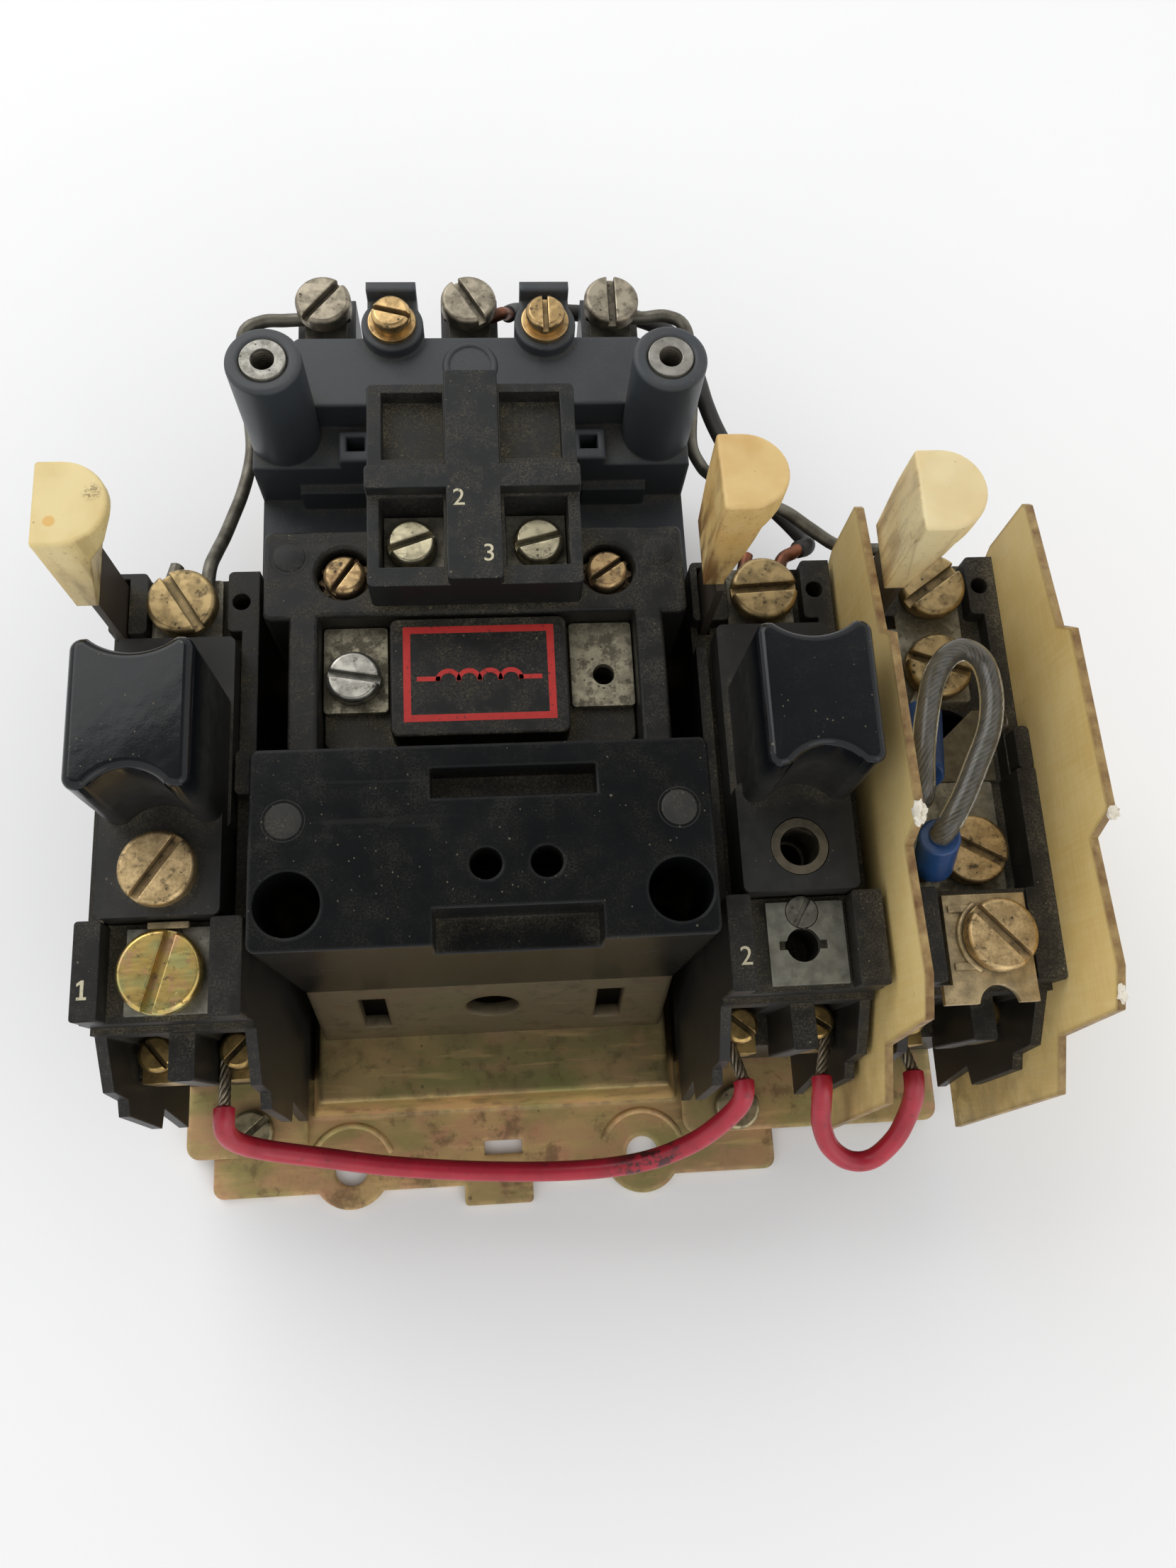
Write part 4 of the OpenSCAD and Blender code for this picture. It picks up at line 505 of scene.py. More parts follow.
FINISHES = {
    "plate": chromate("plate_chromate", (0.70, 0.48, 0.21), (0.30, 0.25, 0.105), (0.60, 0.31, 0.18), 0.33),
    # The bracket has the plate's chromate in far darker colours: painted shade, for the shadow that the
    # front block casts on it.
    "magnet_bracket": chromate(
        "bracket_chromate_painted_shade", (0.15, 0.12, 0.072), (0.115, 0.095, 0.056), (0.135, 0.10, 0.063), 0.5),
    "front_block": phenolic("front_black", 0.8, (0.0042, 0.0047, 0.0051), 0.22, 0.12, 0.2, rounded=0.6),
    "contactor_body": phenolic("body_black", 1.2, (0.0095, 0.0100, 0.0098), film=0.4, reach=7.0),
    "coil": phenolic("coil_black", 1.3, (0.0085, 0.0085, 0.0085), film=0.45, reach=7.0),
    "pip": phenolic("pip_grey", 0.8, (0.022, 0.022, 0.020), 0.5, 0.4),
    "aux_block": phenolic("aux_black", 1.0, (0.0105, 0.0115, 0.0120), film=0.5, reach=8.0),
    "relay": phenolic("relay_black", 1.25, (0.0125, 0.0120, 0.0112), film=0.34, rounded=0.35),
    "arc_chamber": phenolic("slate_black", 0.6, (0.036, 0.041, 0.046), 0.38, 0.3, 0.4, rounded=0.7),
    "gloss": gloss_phenolic(),
    "lamination": lamination(),
    "mounting_screws": screw_metal("foot_screw", (0.42, 0.36, 0.22), 0.5, 0.42),
    "relay_power_screws": screw_metal("power_screw", (0.45, 0.33, 0.16), 0.75, 0.44, bright=LEFT_HEAD),
    "control_screw": screw_metal("control_screw", (0.56, 0.38, 0.14), 0.6, 0.34),
    "tower_screws": screw_metal("tower_screw", (0.62, 0.42, 0.19), 0.45, 0.3),
    "pole_screws": screw_metal("pole_screw", (0.37, 0.325, 0.245), 0.6, 0.42),
    "aux_screws": screw_metal("aux_screw", (0.68, 0.61, 0.41), 0.5, 0.28),
    "coil_screw": screw_metal("coil_screw", (0.54, 0.52, 0.46), 0.5, 0.32),
    "aux_mount_screws": screw_metal("rusty_screw", (0.62, 0.43, 0.21), 0.65, 0.38, 0.24),
    "flush_screws": screw_metal("flush_screw", (0.27, 0.26, 0.215), 0.6, 0.42),
    "load_plates": plated("load_plate", (0.26, 0.255, 0.21), 0.6),
    "coil_terminals": plated("coil_plate", (0.46, 0.42, 0.30), 1.7, 0.5, 0.9, 0.8),
    "relay_plate": plated("relay_plate", (0.36, 0.335, 0.26), 0.7, 0.46, 0.5, 0.45),
    "load_clip_plate": plated("clip_plate", (0.60, 0.47, 0.27), 0.4),
    "load_straps": plated("strap_dark", (0.14, 0.125, 0.10), 0.6, 0.5, 0.5),
    "strip": plated("strip_dusty", (0.20, 0.17, 0.11), 1.0, 0.5, 0.5),
    "post_inserts": plated("insert_metal", (0.36, 0.35, 0.31), 0.4, 0.36, 0.7),
    "eyelet": plated("eyelet_metal", (0.17, 0.145, 0.105), 0.8, 0.42, 0.5),
    "spring": bare_wire("spring_wire", (0.36, 0.34, 0.31), (0.16, 0.13, 0.10)),
    "contact_bridges": bare_wire("contact_copper", (0.44, 0.20, 0.10), (0.24, 0.11, 0.06)),
    "bare_copper": bare_wire("bare_copper", (0.25, 0.095, 0.05), (0.11, 0.05, 0.032)),
    "lead_ends": bare_wire("strand_copper", (0.30, 0.25, 0.18), (0.12, 0.11, 0.075)),
    "power_leads": bare_wire("tinned_wire", (0.18, 0.168, 0.135), (0.105, 0.095, 0.075), 0.44),
    "contact_carrier": phenolic("carrier_brown", 0.4, (0.035, 0.022, 0.014), 0.5),
    "slide": phenolic("slide_brown", 0.5, (0.050, 0.040, 0.030), 0.45),
    "reset_lever_left": ivory(
        "lever_pale", (0.74, 0.61, 0.30), (0.66, 0.51, 0.22), 0.5, LEFT_SCUFF, LEFT_GATE),
    "reset_lever_centre": ivory("lever_amber", (0.68, 0.50, 0.215), (0.58, 0.37, 0.125), 1.0),
    "reset_lever_right": ivory("lever_peach", (0.75, 0.64, 0.37), (0.69, 0.54, 0.28), 0.45),
    "sheet": fibre_sheet(),
    "centre_lead": insulation("black_sleeve", (0.012, 0.011, 0.011), (0.02, 0.018, 0.016), 0.5),
    "red_leads": insulation("red_pvc", (0.42, 0.016, 0.036), (0.33, 0.010, 0.025), 0.32, RED_SMUDGE),
    "crimp_sleeves": insulation("blue_sleeve", (0.018, 0.068, 0.215), (0.012, 0.045, 0.145), 0.3),
    "clear_jumper": clear_tube(),
    "label_red": ink("label_red", (0.55, 0.035, 0.03), (0.02, 0.017, 0.014)),
    "cream": ink("cream_fill", (0.62, 0.57, 0.40), (0.08, 0.07, 0.05)),
    "torn": torn_fibre(),
    "floor": floor_paint(),
}


def by_node(groups):
    return {name: value for value, names in groups.items() for name in names.split()}


def sided(stem):
    return " ".join(stem + side for side in RELAY_XS)


# Finishes that several nodes share; the others go by their node's name
SHARED_FINISH = by_node({
    "plate": "base_plate overload_foot_left overload_foot_right",
    "relay": sided("overload_housing_"),
    "gloss": "heater_left heater_centre",
    "lamination": "magnet_core armature",
    "control_screw": "control_clamps control_screws",
    "relay_plate": "line_straps aux_plates relay_line_plates heater_plates crimp_lugs",
    "eyelet": "alloy_spindles heater_eyelets",
    "spring": "contact_springs " + sided("reset_spring_"),
    "slide": sided("trip_slide_"),
    "sheet": "barrier_inner barrier_outer",
})

# Width of the softened edges
PLATE_EDGE = 0.12
EDGE = by_node({
    0.08: "control_clamps",
    0.1: "crimp_lugs",
    0.15: "control_screws",
    0.2: "magnet_bracket post_inserts mounting_screws coil_screw tower_screws aux_screws aux_mount_screws",
    0.25: "aux_block base_plate overload_foot_left overload_foot_right pole_screws relay_power_screws",
    0.35: "front_block",
    0.4: "coil crimp_sleeves",
    0.5: sided("reset_lever_"),
    0.7: "contactor_body arc_chamber",
    1.2: "heater_left heater_centre",
})
# Height below which edges stay sharp, height from which they get the full width, and the share between
EDGE_HEIGHTS = by_node({
    (59.5, 75.0, 0.5): "arc_chamber",
    (70.0, 70.0, 1.0): "heater_left heater_centre",
    (90.0, 90.0, 1.0): sided("reset_lever_"),
})
ALL_EDGES = (-1.0, -1.0, 1.0)
# Housings have corners too fine to bevel, and their finish rounds them instead
UNBEVELLED = sided("overload_housing_").split()
SMOOTH_BELOW = math.radians(32.0)
BEVEL_ABOVE = math.radians(38.0)
FLAT_BELOW = math.radians(0.6)
WELD_WITHIN = 0.002
# Widths above which an edge has one segment more than two, and two more
FINER_EDGES = (0.3, 0.6)


# Softened edges on the CAD pieces
def geometry_group(name):
    group = bpy.data.node_groups.new(name, "GeometryNodeTree")
    for way in ("INPUT", "OUTPUT"):
        group.interface.new_socket("Geometry", in_out=way, socket_type="NodeSocketGeometry")
    return group, group.nodes.new("NodeGroupInput"), group.nodes.new("NodeGroupOutput")


def compared(group, operation, value, limit):
    node = settled(group.nodes.new("FunctionNodeCompare"), operation=operation)
    node.inputs[1].default_value = limit
    group.links.new(value, node.inputs[0])
    return node.outputs[0]


def smoothing_group():
    """Geometry nodes that shade faces smooth and keep edges above an angle sharp."""
    group, start, end = geometry_group("sharp_above_angle")
    link = group.links.new
    drop = group.nodes.new("GeometryNodeRemoveAttribute")
    drop.inputs["Name"].default_value = "custom_normal"
    faces = group.nodes.new("GeometryNodeSetShadeSmooth")
    edges = settled(group.nodes.new("GeometryNodeSetShadeSmooth"), domain="EDGE")
    angle = group.nodes.new("GeometryNodeInputMeshEdgeAngle").outputs[0]
    link(start.outputs[0], drop.inputs["Geometry"])
    link(drop.outputs[0], faces.inputs["Geometry"])
    link(faces.outputs[0], edges.inputs["Geometry"])
    link(compared(group, "LESS_THAN", angle, SMOOTH_BELOW), edges.inputs["Shade Smooth"])
    link(edges.outputs[0], end.inputs[0])
    return group


def convex_group(floor, full, share):
    """Geometry nodes that weigh a bevel: outer edges alone, by their height."""
    group, start, end = geometry_group("convex_edges")
    link = group.links.new
    place = group.nodes.new("ShaderNodeSeparateXYZ")
    link(group.nodes.new("GeometryNodeInputPosition").outputs[0], place.inputs[0])
    height = place.outputs["Z"]
    signed = group.nodes.new("GeometryNodeInputMeshEdgeAngle").outputs["Signed Angle"]
    both = group.nodes.new("FunctionNodeBooleanMath")
    link(compared(group, "GREATER_THAN", signed, BEVEL_ABOVE), both.inputs[0])
    link(compared(group, "GREATER_THAN", height, floor * MM), both.inputs[1])
    weight = group.nodes.new("ShaderNodeMapRange")
    link(compared(group, "GREATER_THAN", height, full * MM), weight.inputs["Value"])
    weight.inputs["To Min"].default_value = share
    store = settled(group.nodes.new("GeometryNodeStoreNamedAttribute"), data_type="FLOAT", domain="EDGE")
    store.inputs["Name"].default_value = "bevel_weight_edge"
    link(start.outputs[0], store.inputs["Geometry"])
    link(both.outputs[0], store.inputs["Selection"])
    link(weight.outputs["Result"], store.inputs["Value"])
    link(store.outputs[0], end.inputs[0])
    return group


SMOOTHING = smoothing_group()
CONVEX = {heights: convex_group(*heights) for heights in sorted({ALL_EDGES, *EDGE_HEIGHTS.values()})}


def modify(obj, name, kind, **settings):
    settled(obj.modifiers.new(name, kind), **settings)


def shade(obj):
    modify(obj, "shade", "NODES", node_group=SMOOTHING)


def soften(obj, width):
    modify(obj, "weld", "WELD", merge_threshold=WELD_WITHIN * MM)
    modify(obj, "flat", "DECIMATE", decimate_type="DISSOLVE", angle_limit=FLAT_BELOW)
    if obj.name not in UNBEVELLED:
        modify(obj, "convex", "NODES", node_group=CONVEX[EDGE_HEIGHTS.get(obj.name, ALL_EDGES)])
        segments = 2 + sum(width > limit for limit in FINER_EDGES)
        modify(
            obj, "edge", "BEVEL", width=width * MM, segments=segments, limit_method="WEIGHT",
            use_clamp_overlap=False, loop_slide=False, miter_outer="MITER_ARC")
    shade(obj)
    modify(obj, "normals", "WEIGHTED_NORMAL", keep_sharp=True)


def finish(obj, key):
    obj.data.materials.clear()
    obj.data.materials.append(FINISHES[key])


for name, obj in nodes.items():
    finish(obj, SHARED_FINISH.get(name, name))
    soften(obj, EDGE.get(name, PLATE_EDGE))

# Shapes
LEAD_SPACING = 0.6
STRAND_SPACING = 0.5
STRAND_SIDES = 8
# Rise and width of a tube's domed end, as shares of its radius
DOME = (0.25, 0.6)
MITRE_LIMIT = 0.4
RING_SIDES = 12
FLAKE_RINGS = 10
FLAKE_SIDES = 16
# Depth and fineness of a flake's lumps and of its grain
LUMPS = (0.6, 1.9)
GRAIN = (0.3, 5.0)


def show(name, data):
    obj = bpy.data.objects.new(name, data)
    bpy.context.scene.collection.objects.link(obj)
    return obj


def add_piece(name, mesh, key):
    obj = show(name, mesh)
    finish(obj, key)
    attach(obj, "frame")
    return obj


def new_piece(name, vertices, faces, key, slot):
    mesh = bpy.data.meshes.new(name)
    mesh.from_pydata(vertices, [], faces)
    mesh.update()
    return add_piece(name, mesh, key)


def smooth_piece(*made):
    obj = new_piece(*made)
    shade(obj)
    return obj


def circle(count):
    return [math.tau * k / count for k in range(count)]


def ring_faces(rings, count, capped=False):
    """Faces between rings that follow each other, and over the end rings if they are capped."""
    faces = []
    for i in range(rings - 1):
        for k in range(count):
            a, b = i * count + k, i * count + (k + 1) % count
            faces.append((a, b, b + count, a + count))
    if capped:
        end = (rings - 1) * count
        faces += [tuple(reversed(range(count))), tuple(range(end, end + count))]
    return faces


def joined(*shapes):
    vertices, faces = [], []
    for more, loops in shapes:
        start = len(vertices)
        vertices += more
        faces += [tuple(start + i for i in loop) for loop in loops]
    return vertices, faces


def spline(points, spacing):
    """Points along a Catmull-Rom curve through the given ones, about a spacing apart."""
    ends = [2 * points[0] - points[1], *points, 2 * points[-1] - points[-2]]
    line = []
    for a, b, c, d in zip(ends, ends[1:], ends[2:], ends[3:]):
        count = max(1, round((c - b).length / spacing))
        for i in range(count):
            t = i / count
            bend = (2 * a - 5 * b + 4 * c - d) * t * t + (3 * b - a - 3 * c + d) * t ** 3
            line.append((2 * b + (c - a) * t + bend) / 2)
    return [*line, points[-1]]


def stations(line):
    """Each point of a line, its direction and two directions across that twist as little as they can."""
    side = (line[1] - line[0]).orthogonal().normalized()
    found = []
    for i, p in enumerate(line):
        along = (line[min(i + 1, len(line) - 1)] - line[max(i - 1, 0)]).normalized()
        side = (side - along * side.dot(along)).normalized()
        found.append((p, along, side, along.cross(side)))
    return found


def tube(points, radius, sides=14, spacing=LEAD_SPACING):
    """Vertices and faces of a round tube along a curve, with domed ends."""
    middle = stations(spline([at(*p) for p in points], spacing * MM))
    rise, width = (share * radius * MM for share in DOME)
    (p, first, *start), (q, last, *end) = middle[0], middle[-1]
    rings = [(p - rise * first, width, *start)]
    rings += [(p, radius * MM, *across) for p, _, *across in middle]
    rings.append((q + rise * last, width, *end))
    turns = circle(sides)
    vertices = [p + r * (math.cos(a) * u + math.sin(a) * v) for p, r, u, v in rings for a in turns]
    return vertices, ring_faces(len(rings), sides, True)


def turn_round(x, y, z, r, start, stop, count=12):
    steps = [math.radians(start + (stop - start) * i / count) for i in range(count + 1)]
    return [(x + r * math.cos(a), y + r * math.sin(a), z) for a in steps]


def strands(points, radius, thin, turns, count=6):
    """Thin wires twisted round a middle one."""
    middle = stations(spline([Vector(p) for p in points], STRAND_SPACING))
    paths = [[tuple(p) for p, *_ in middle]]
    for start in circle(count):
        path = []
        for i, (p, _, u, v) in enumerate(middle):
            turn = start + math.tau * turns * i / (len(middle) - 1)
            path.append(tuple(p + (radius - thin) * (math.cos(turn) * u + math.sin(turn) * v)))
        paths.append(path)
    return joined(*(tube(path, thin, STRAND_SIDES, STRAND_SPACING) for path in paths))


def lathe(profile, centre, axis=UP, count=48, capped=False):
    """Vertices and faces of a profile of (radius, height) pairs turned about an axis through a place."""
    turn = Vector(UP).rotation_difference(Vector(axis)).to_matrix()
    around = circle(count)
    vertices = [
        at(*(Vector(centre) + turn @ Vector((r * math.cos(a), r * math.sin(a), h))))
        for r, h in profile for a in around]
    return vertices, ring_faces(len(profile), count, capped)


def ribbon(points, width, z, thickness, closed=False):
    """Vertices and faces of a flat printed line along a path in a horizontal plane."""
    flat = [Vector(p) for p in points]
    count = len(flat)
    vertices, faces = [], []
    for i, p in enumerate(flat):
        before = flat[i - 1] if closed or i else p - (flat[1] - p)
        after = flat[(i + 1) % count] if closed or i < count - 1 else p + (p - flat[i - 1])
        d0, d1 = (p - before).normalized(), (after - p).normalized()
        across = Vector((-d0.y - d1.y, d0.x + d1.x)).normalized()
        reach = width / 2 / max(MITRE_LIMIT, across.dot(Vector((-d0.y, d0.x))))
        for s, h in ((-1, -thickness), (-1, thickness), (1, thickness), (1, -thickness)):
            q = p + s * reach * across
            vertices.append(at(q.x, q.y, z + h))
    for i in range(count if closed else count - 1):
        a, b = 4 * i, 4 * ((i + 1) % count)
        faces += [(a + k, b + k, b + (k + 1) % 4, a + (k + 1) % 4) for k in range(4)]
    if not closed:
        faces += [(0, 1, 2, 3), (4 * count - 1, 4 * count - 2, 4 * count - 3, 4 * count - 4)]
    return vertices, faces


def toothed_ring(centre, inner, outer, tooth, teeth, height):
    """Vertices and faces of a washer with teeth round its rim."""
    vertices, faces = [], []
    count = 4 * teeth
    for k, a in enumerate(circle(count)):
        rim = outer if k % 4 < 2 else outer - tooth
        for r, h in ((inner, 0.0), (inner, height), (rim, height), (rim, 0.0)):
            vertices.append(at(centre[0] + r * math.cos(a), centre[1] + r * math.sin(a), centre[2] + h))
    for k in range(count):
        a, b = 4 * k, 4 * ((k + 1) % count)
        faces += [(a + i, a + (i + 1) % 4, b + (i + 1) % 4, b + i) for i in range(4)]
    return vertices, faces


def wire_ring(centre, radius, thin, axis):
    section = [*circle(RING_SIDES), math.tau]
    return lathe([(radius + thin * math.cos(a), thin * math.sin(a)) for a in section], centre, axis)


def cut_plate(outline, low, high):
    vertices = [at(x, y, z) for z in (low, high) for x, y in outline]
    return vertices, ring_faces(2, len(outline), True)


def flake(centre, size):
    """A torn tuft of fibres: a ball pulled out of round."""
    vertices, faces = [], []
    for i in range(FLAKE_RINGS + 1):
        up = math.pi * i / FLAKE_RINGS
        for turn in circle(FLAKE_SIDES):
            out = Vector((math.sin(up) * math.cos(turn), math.sin(up) * math.sin(turn), math.cos(up)))
            lump = LUMPS[0] * noise.noise(LUMPS[1] * out + Vector(centre))
            reach = 1.0 + lump + GRAIN[0] * noise.noise(GRAIN[1] * out)
            vertices.append(at(*(c + reach * h * o for c, h, o in zip(centre, size, out))))
    for i in range(FLAKE_RINGS):
        for k in range(FLAKE_SIDES):
            a, b = i * FLAKE_SIDES + k, i * FLAKE_SIDES + (k + 1) % FLAKE_SIDES
            loop = [a, a + FLAKE_SIDES, b + FLAKE_SIDES, b]
            if i in (0, FLAKE_RINGS - 1):
                loop.pop(3 if i == 0 else 2)
            faces.append(tuple(loop))
    return vertices, faces


# Leads
ROUTE_LEFT = [
    (-30, 79.6, 61.2), (-33.6, 78.9, 61.8), (-36.6, 76.6, 61.6), (-37.4, 71.5, 57), (-37, 66, 53),
    (-36.8, 61.5, 52), (-37.2, 57, 52.3), (-38, 52.2, 53.2), (-39, 47.5, 54.6), (-39.8, 42.9, 56.6),
    (-40.4, 39, 59), (-40.8, 35.4, 61)]
ROUTE_RIGHT = [
    (29.2, 79.8, 61.2), (33, 79.6, 61.8), (36, 77.2, 61.6), (37.4, 71, 57), (37.2, 66.5, 54.5),
    (36.9, 60.4, 53.4), (38.2, 56.6, 53.2), (39.6, 53.8, 54.6), (44, 48, 58), (49.6, 44.2, 60),
    (53.6, 41, 60), (57.6, 37.9, 60), (61.6, 36.8, 60.4), (65.4, 36.3, 60.9), (67.4, 34.6, 61)]
ROUTE_CENTRE = [
    (6.6, 83.5, 57.4), (8.2, 86.6, 54), (13, 88, 52), (22, 88.2, 51), (30, 87.4, 50.6), (36.2, 83.5, 50.6),
    (39, 76.5, 51.2), (40.3, 69, 52), (42, 63.4, 52), (45, 56, 52.4), (48.4, 50, 53.4), (52, 44.6, 54.6),
    (53.8, 40.6, 56.2), (53, 38.2, 58.8), (51.2, 37, 60.4)]
POLE_END = [(5.4, 81, 60.9), (6.0, 82.6, 58.6), ROUTE_CENTRE[0]]
RELAY_END = [ROUTE_CENTRE[-1], (50.2, 36.2, 60.8), (48.2, 34.8, 61)]
RED_LONG = [
    (-40.6, -47.8, 41), (-39.6, -49.4, 37.4), (-36, -50.8, 33), (-27, -52.6, 29), (-17, -54.4, 26.5),
    (-5, -55.8, 25), (7, -56.6, 25), (17, -56.6, 26.5), (25, -55.6, 29), (31.6, -53.2, 33),
    (35.6, -50.4, 37.6), (37.9, -48, 41)]
RED_SHORT = [
    (50.9, -48.4, 40.8), (51.4, -51.4, 37.4), (53.2, -55, 34), (56.6, -57.4, 32), (60.4, -57.4, 32.2),
    (63.6, -54.6, 34.8), (65.2, -51.2, 37.6), (65.6, -48.2, 41)]
JUMPER = [
    (62.8, -4.4, 71.4), (61.4, -7.8, 73.6), (60.7, -8.4, 75.6), (60.4, -6.6, 77.4), (60.7, -2.5, 78.2),
    (62.2, 3, 77.6), (64.4, 8.6, 76.4), (67.2, 12.2, 75.6), (70, 13.2, 75.2), (72.2, 11, 75.4),
    (72.6, 6.4, 75.8), (71.4, 1, 76.2), (68.6, -4.4, 76.6), (65.8, -9.4, 76.8), (63.6, -12.7, 76.4),
    (63.0, -13.9, 74.0)]
LEAD_SIDES = 20
POLE_HALF_TURN = 110
# Start and stop of a turn round a relay's screw, and the wire's end from the screw and the relay's rear
TURN_LEFT = (30, -200, 1.9 - RELAY_TURN_R, 1.6)
TURN_RIGHT = (150, 370, RELAY_TURN_R, -0.6)
# Spread, wire radius and turns of the stripped ends, and the same with the count for the jumper's core
STRIPPED = (0.95, 0.3, 1.2)
CORE = (1.0, 0.21, 7, 9)
# How far the red insulation lies over the strands, runs on straight, and the strands run into it
RED_OVER = 0.2
RED_STRAIGHT = 1.5
STRAND_IN = 0.6
STRAND_DX = CONTROL_SHANK_R + STRAND_R + STRAND_GAP
LEFT_SHIFT = 0.25
LEFT_STRAND = RELAY_XS["left"] + CONTROL_X - STRAND_DX + LEFT_SHIFT
STRAND_XS = [
    (LEFT_STRAND, LEFT_STRAND),
    (38.5, RELAY_XS["centre"] - CONTROL_X - STRAND_DX),
    (50.8, RELAY_XS["centre"] + CONTROL_X + STRAND_DX),
    (65.4, RELAY_XS["right"] - CONTROL_X - STRAND_DX)]


def pole_turn(x, turn):
    half = POLE_HALF_TURN * turn
    return turn_round(x, POLE_Y, POLE_WIRE_Z, POLE_TURN_R, 90 - half, 90 + half)


def relay_turn(x, start, stop, dx, dy):
    loop = turn_round(x, LINE_Y, RELAY_WIRE_Z, RELAY_TURN_R, start, stop)
    return [*loop, (x + dx, RELAY_REAR + dy, RELAY_WIRE_Z)]


def lead(name, points, radius, slot, node):
    """A round lead on a CAD lead's route, in place of the CAD lead, which is hidden."""
    obj = smooth_piece(name, *tube(points, radius, LEAD_SIDES), node, slot)
    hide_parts(node)


def red_path(first, middle, last):
    """A red lead's points, with straight lengths in line with the strands at its ends."""
    ends = [
        [(STRAND_XS[i][0], STRAND_Y[0] - RED_OVER - ahead, STRAND_Z) for ahead in (0.0, RED_STRAIGHT)]
        for i in (first, last)]
    return [*ends[0], *middle, *reversed(ends[1])]


left_path = [*pole_turn(POLE_XS[0], 1), *ROUTE_LEFT, *relay_turn(RELAY_XS["left"], *TURN_LEFT)]
right_path = [*pole_turn(POLE_XS[2], -1), *ROUTE_RIGHT, *relay_turn(RELAY_XS["right"], *TURN_RIGHT)]
lead("lead_power_left", left_path, POWER_R, "tinned_wire", "power_leads")
lead("lead_power_right", right_path, POWER_R, "tinned_wire", "power_leads")
lead("lead_centre", ROUTE_CENTRE, CENTRE_R, "black_sleeve", "centre_lead")
lead("lead_red_long", red_path(0, RED_LONG, 1), RED_R, "red_pvc", "red_leads")
lead("lead_red_short", red_path(2, RED_SHORT, 3), RED_R, "red_pvc", "red_leads")
lead("lead_jumper", JUMPER, JUMPER_R, "clear_pvc", "clear_jumper")

pole_end = [*pole_turn(POLE_XS[1], -1), *POLE_END]
relay_end = [*RELAY_END, *relay_turn(RELAY_XS["centre"], *TURN_LEFT)]
solid = joined(tube(pole_end, POWER_R), tube(relay_end, POWER_R))
solid_ends = smooth_piece("lead_centre_ends", *solid, "bare_copper", "copper")
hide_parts("lead_ends")
bare = []
for near, far in STRAND_XS:
    xys = ((near, STRAND_Y[0] - STRAND_IN), (near, STRAND_Y[0]), (far, STRAND_Y[1]))
    bare.append(strands([(x, y, STRAND_Z) for x, y in xys], *STRIPPED))
bare_ends = smooth_piece("lead_strands", *joined(*bare), "lead_ends", "copper")
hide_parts("lead_ends")
smooth_piece("jumper_core", *strands(JUMPER, *CORE), "power_leads", "tinned_wire")

# Reset springs as pieces of their own, copied from the CAD springs
for side in RELAY_XS:
    source = nodes["reset_spring_" + side]
    coil = add_piece("spring_" + side, source.data.copy(), "spring")
    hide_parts(source.name)
    shade(coil)
    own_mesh(coil)

# Small details of the mouldings and the metal, with profiles as (radius, height) pairs
SIDES = ((-1, "left"), (1, "right"))
PIP = [(2.95, -0.3), (2.95, -0.05), (2.8, 0.03), (2.65, -0.1), (2.5, -0.1), (2.35, 0.04), (2.1, 0.1)]
FRONT_PIP = (26.0, -9.8)
BODY_PIP = (27.3, 32.5)
BOSS = [(4.45, -0.1), (4.35, 0.12), (4.1, 0.28), (3.5, 0.28), (3.3, 0.1)]
BOSS_AT = (0.0, 67.5, 66.0)
THREAD_STEPS = 20
THREAD_STEP = 0.3
THREAD_START = -0.4
THREAD_DEPTH = 0.16
THREAD_BACK = INSERT_R + 0.25
THREAD = [(INSERT_R - THREAD_DEPTH * (i % 2), THREAD_START - THREAD_STEP * i) for i in range(THREAD_STEPS)]
THREAD += [(THREAD_BACK, THREAD[-1][1]), (THREAD_BACK, THREAD[0][1]), THREAD[0]]
WASHER_AT = (19.4, 29.8, 66.9)
# Inner and outer radius of the washer, depth and count of its teeth, and its thickness
WASHER = (2.6, 3.9, 0.7, 12, 0.5)
# Radius, start, stop and steps of a raised edge's arc
RIDGE_ARC = (7.6, 20, 160, 16)
RIDGE_R = 0.65
RIDGE_DEPTH = 0.25
LIP_ARC = (5.5, 122, 238, 16)
LIP_R = 0.5
LIP_RISE = 0.1
EYE_AT = (79.7, 6.7, 62.9)
# Radius, wire radius and axis of the eye
EYE = (1.4, 0.26, (0.75, 0.0, 0.65))
STRIP = [(69.8, -2.2), (78.6, -2.2), (78.6, 9.2), (76.2, 9.3), (70.4, 4.2)]
STRIP_T = 0.8
TONGUE = [(-46.2, -20.9), (-46.0, -21.1), (-40.8, -21.1), (-40.6, -20.9), (-40.6, -20.1), (-46.2, -20.1)]
TONGUE_T = 0.9
SHEET_EDGE = 0.15
FLAKES = {
    "inner": ((56.9, -12.9, 84.0), (0.8, 1.5, 1.7)),
    "outer": ((82.7, -14.0, 84.6), (0.65, 1.0, 1.2)),
    "low": ((82.7, -36.9, 78.8), (0.6, 1.5, 0.7)),
}

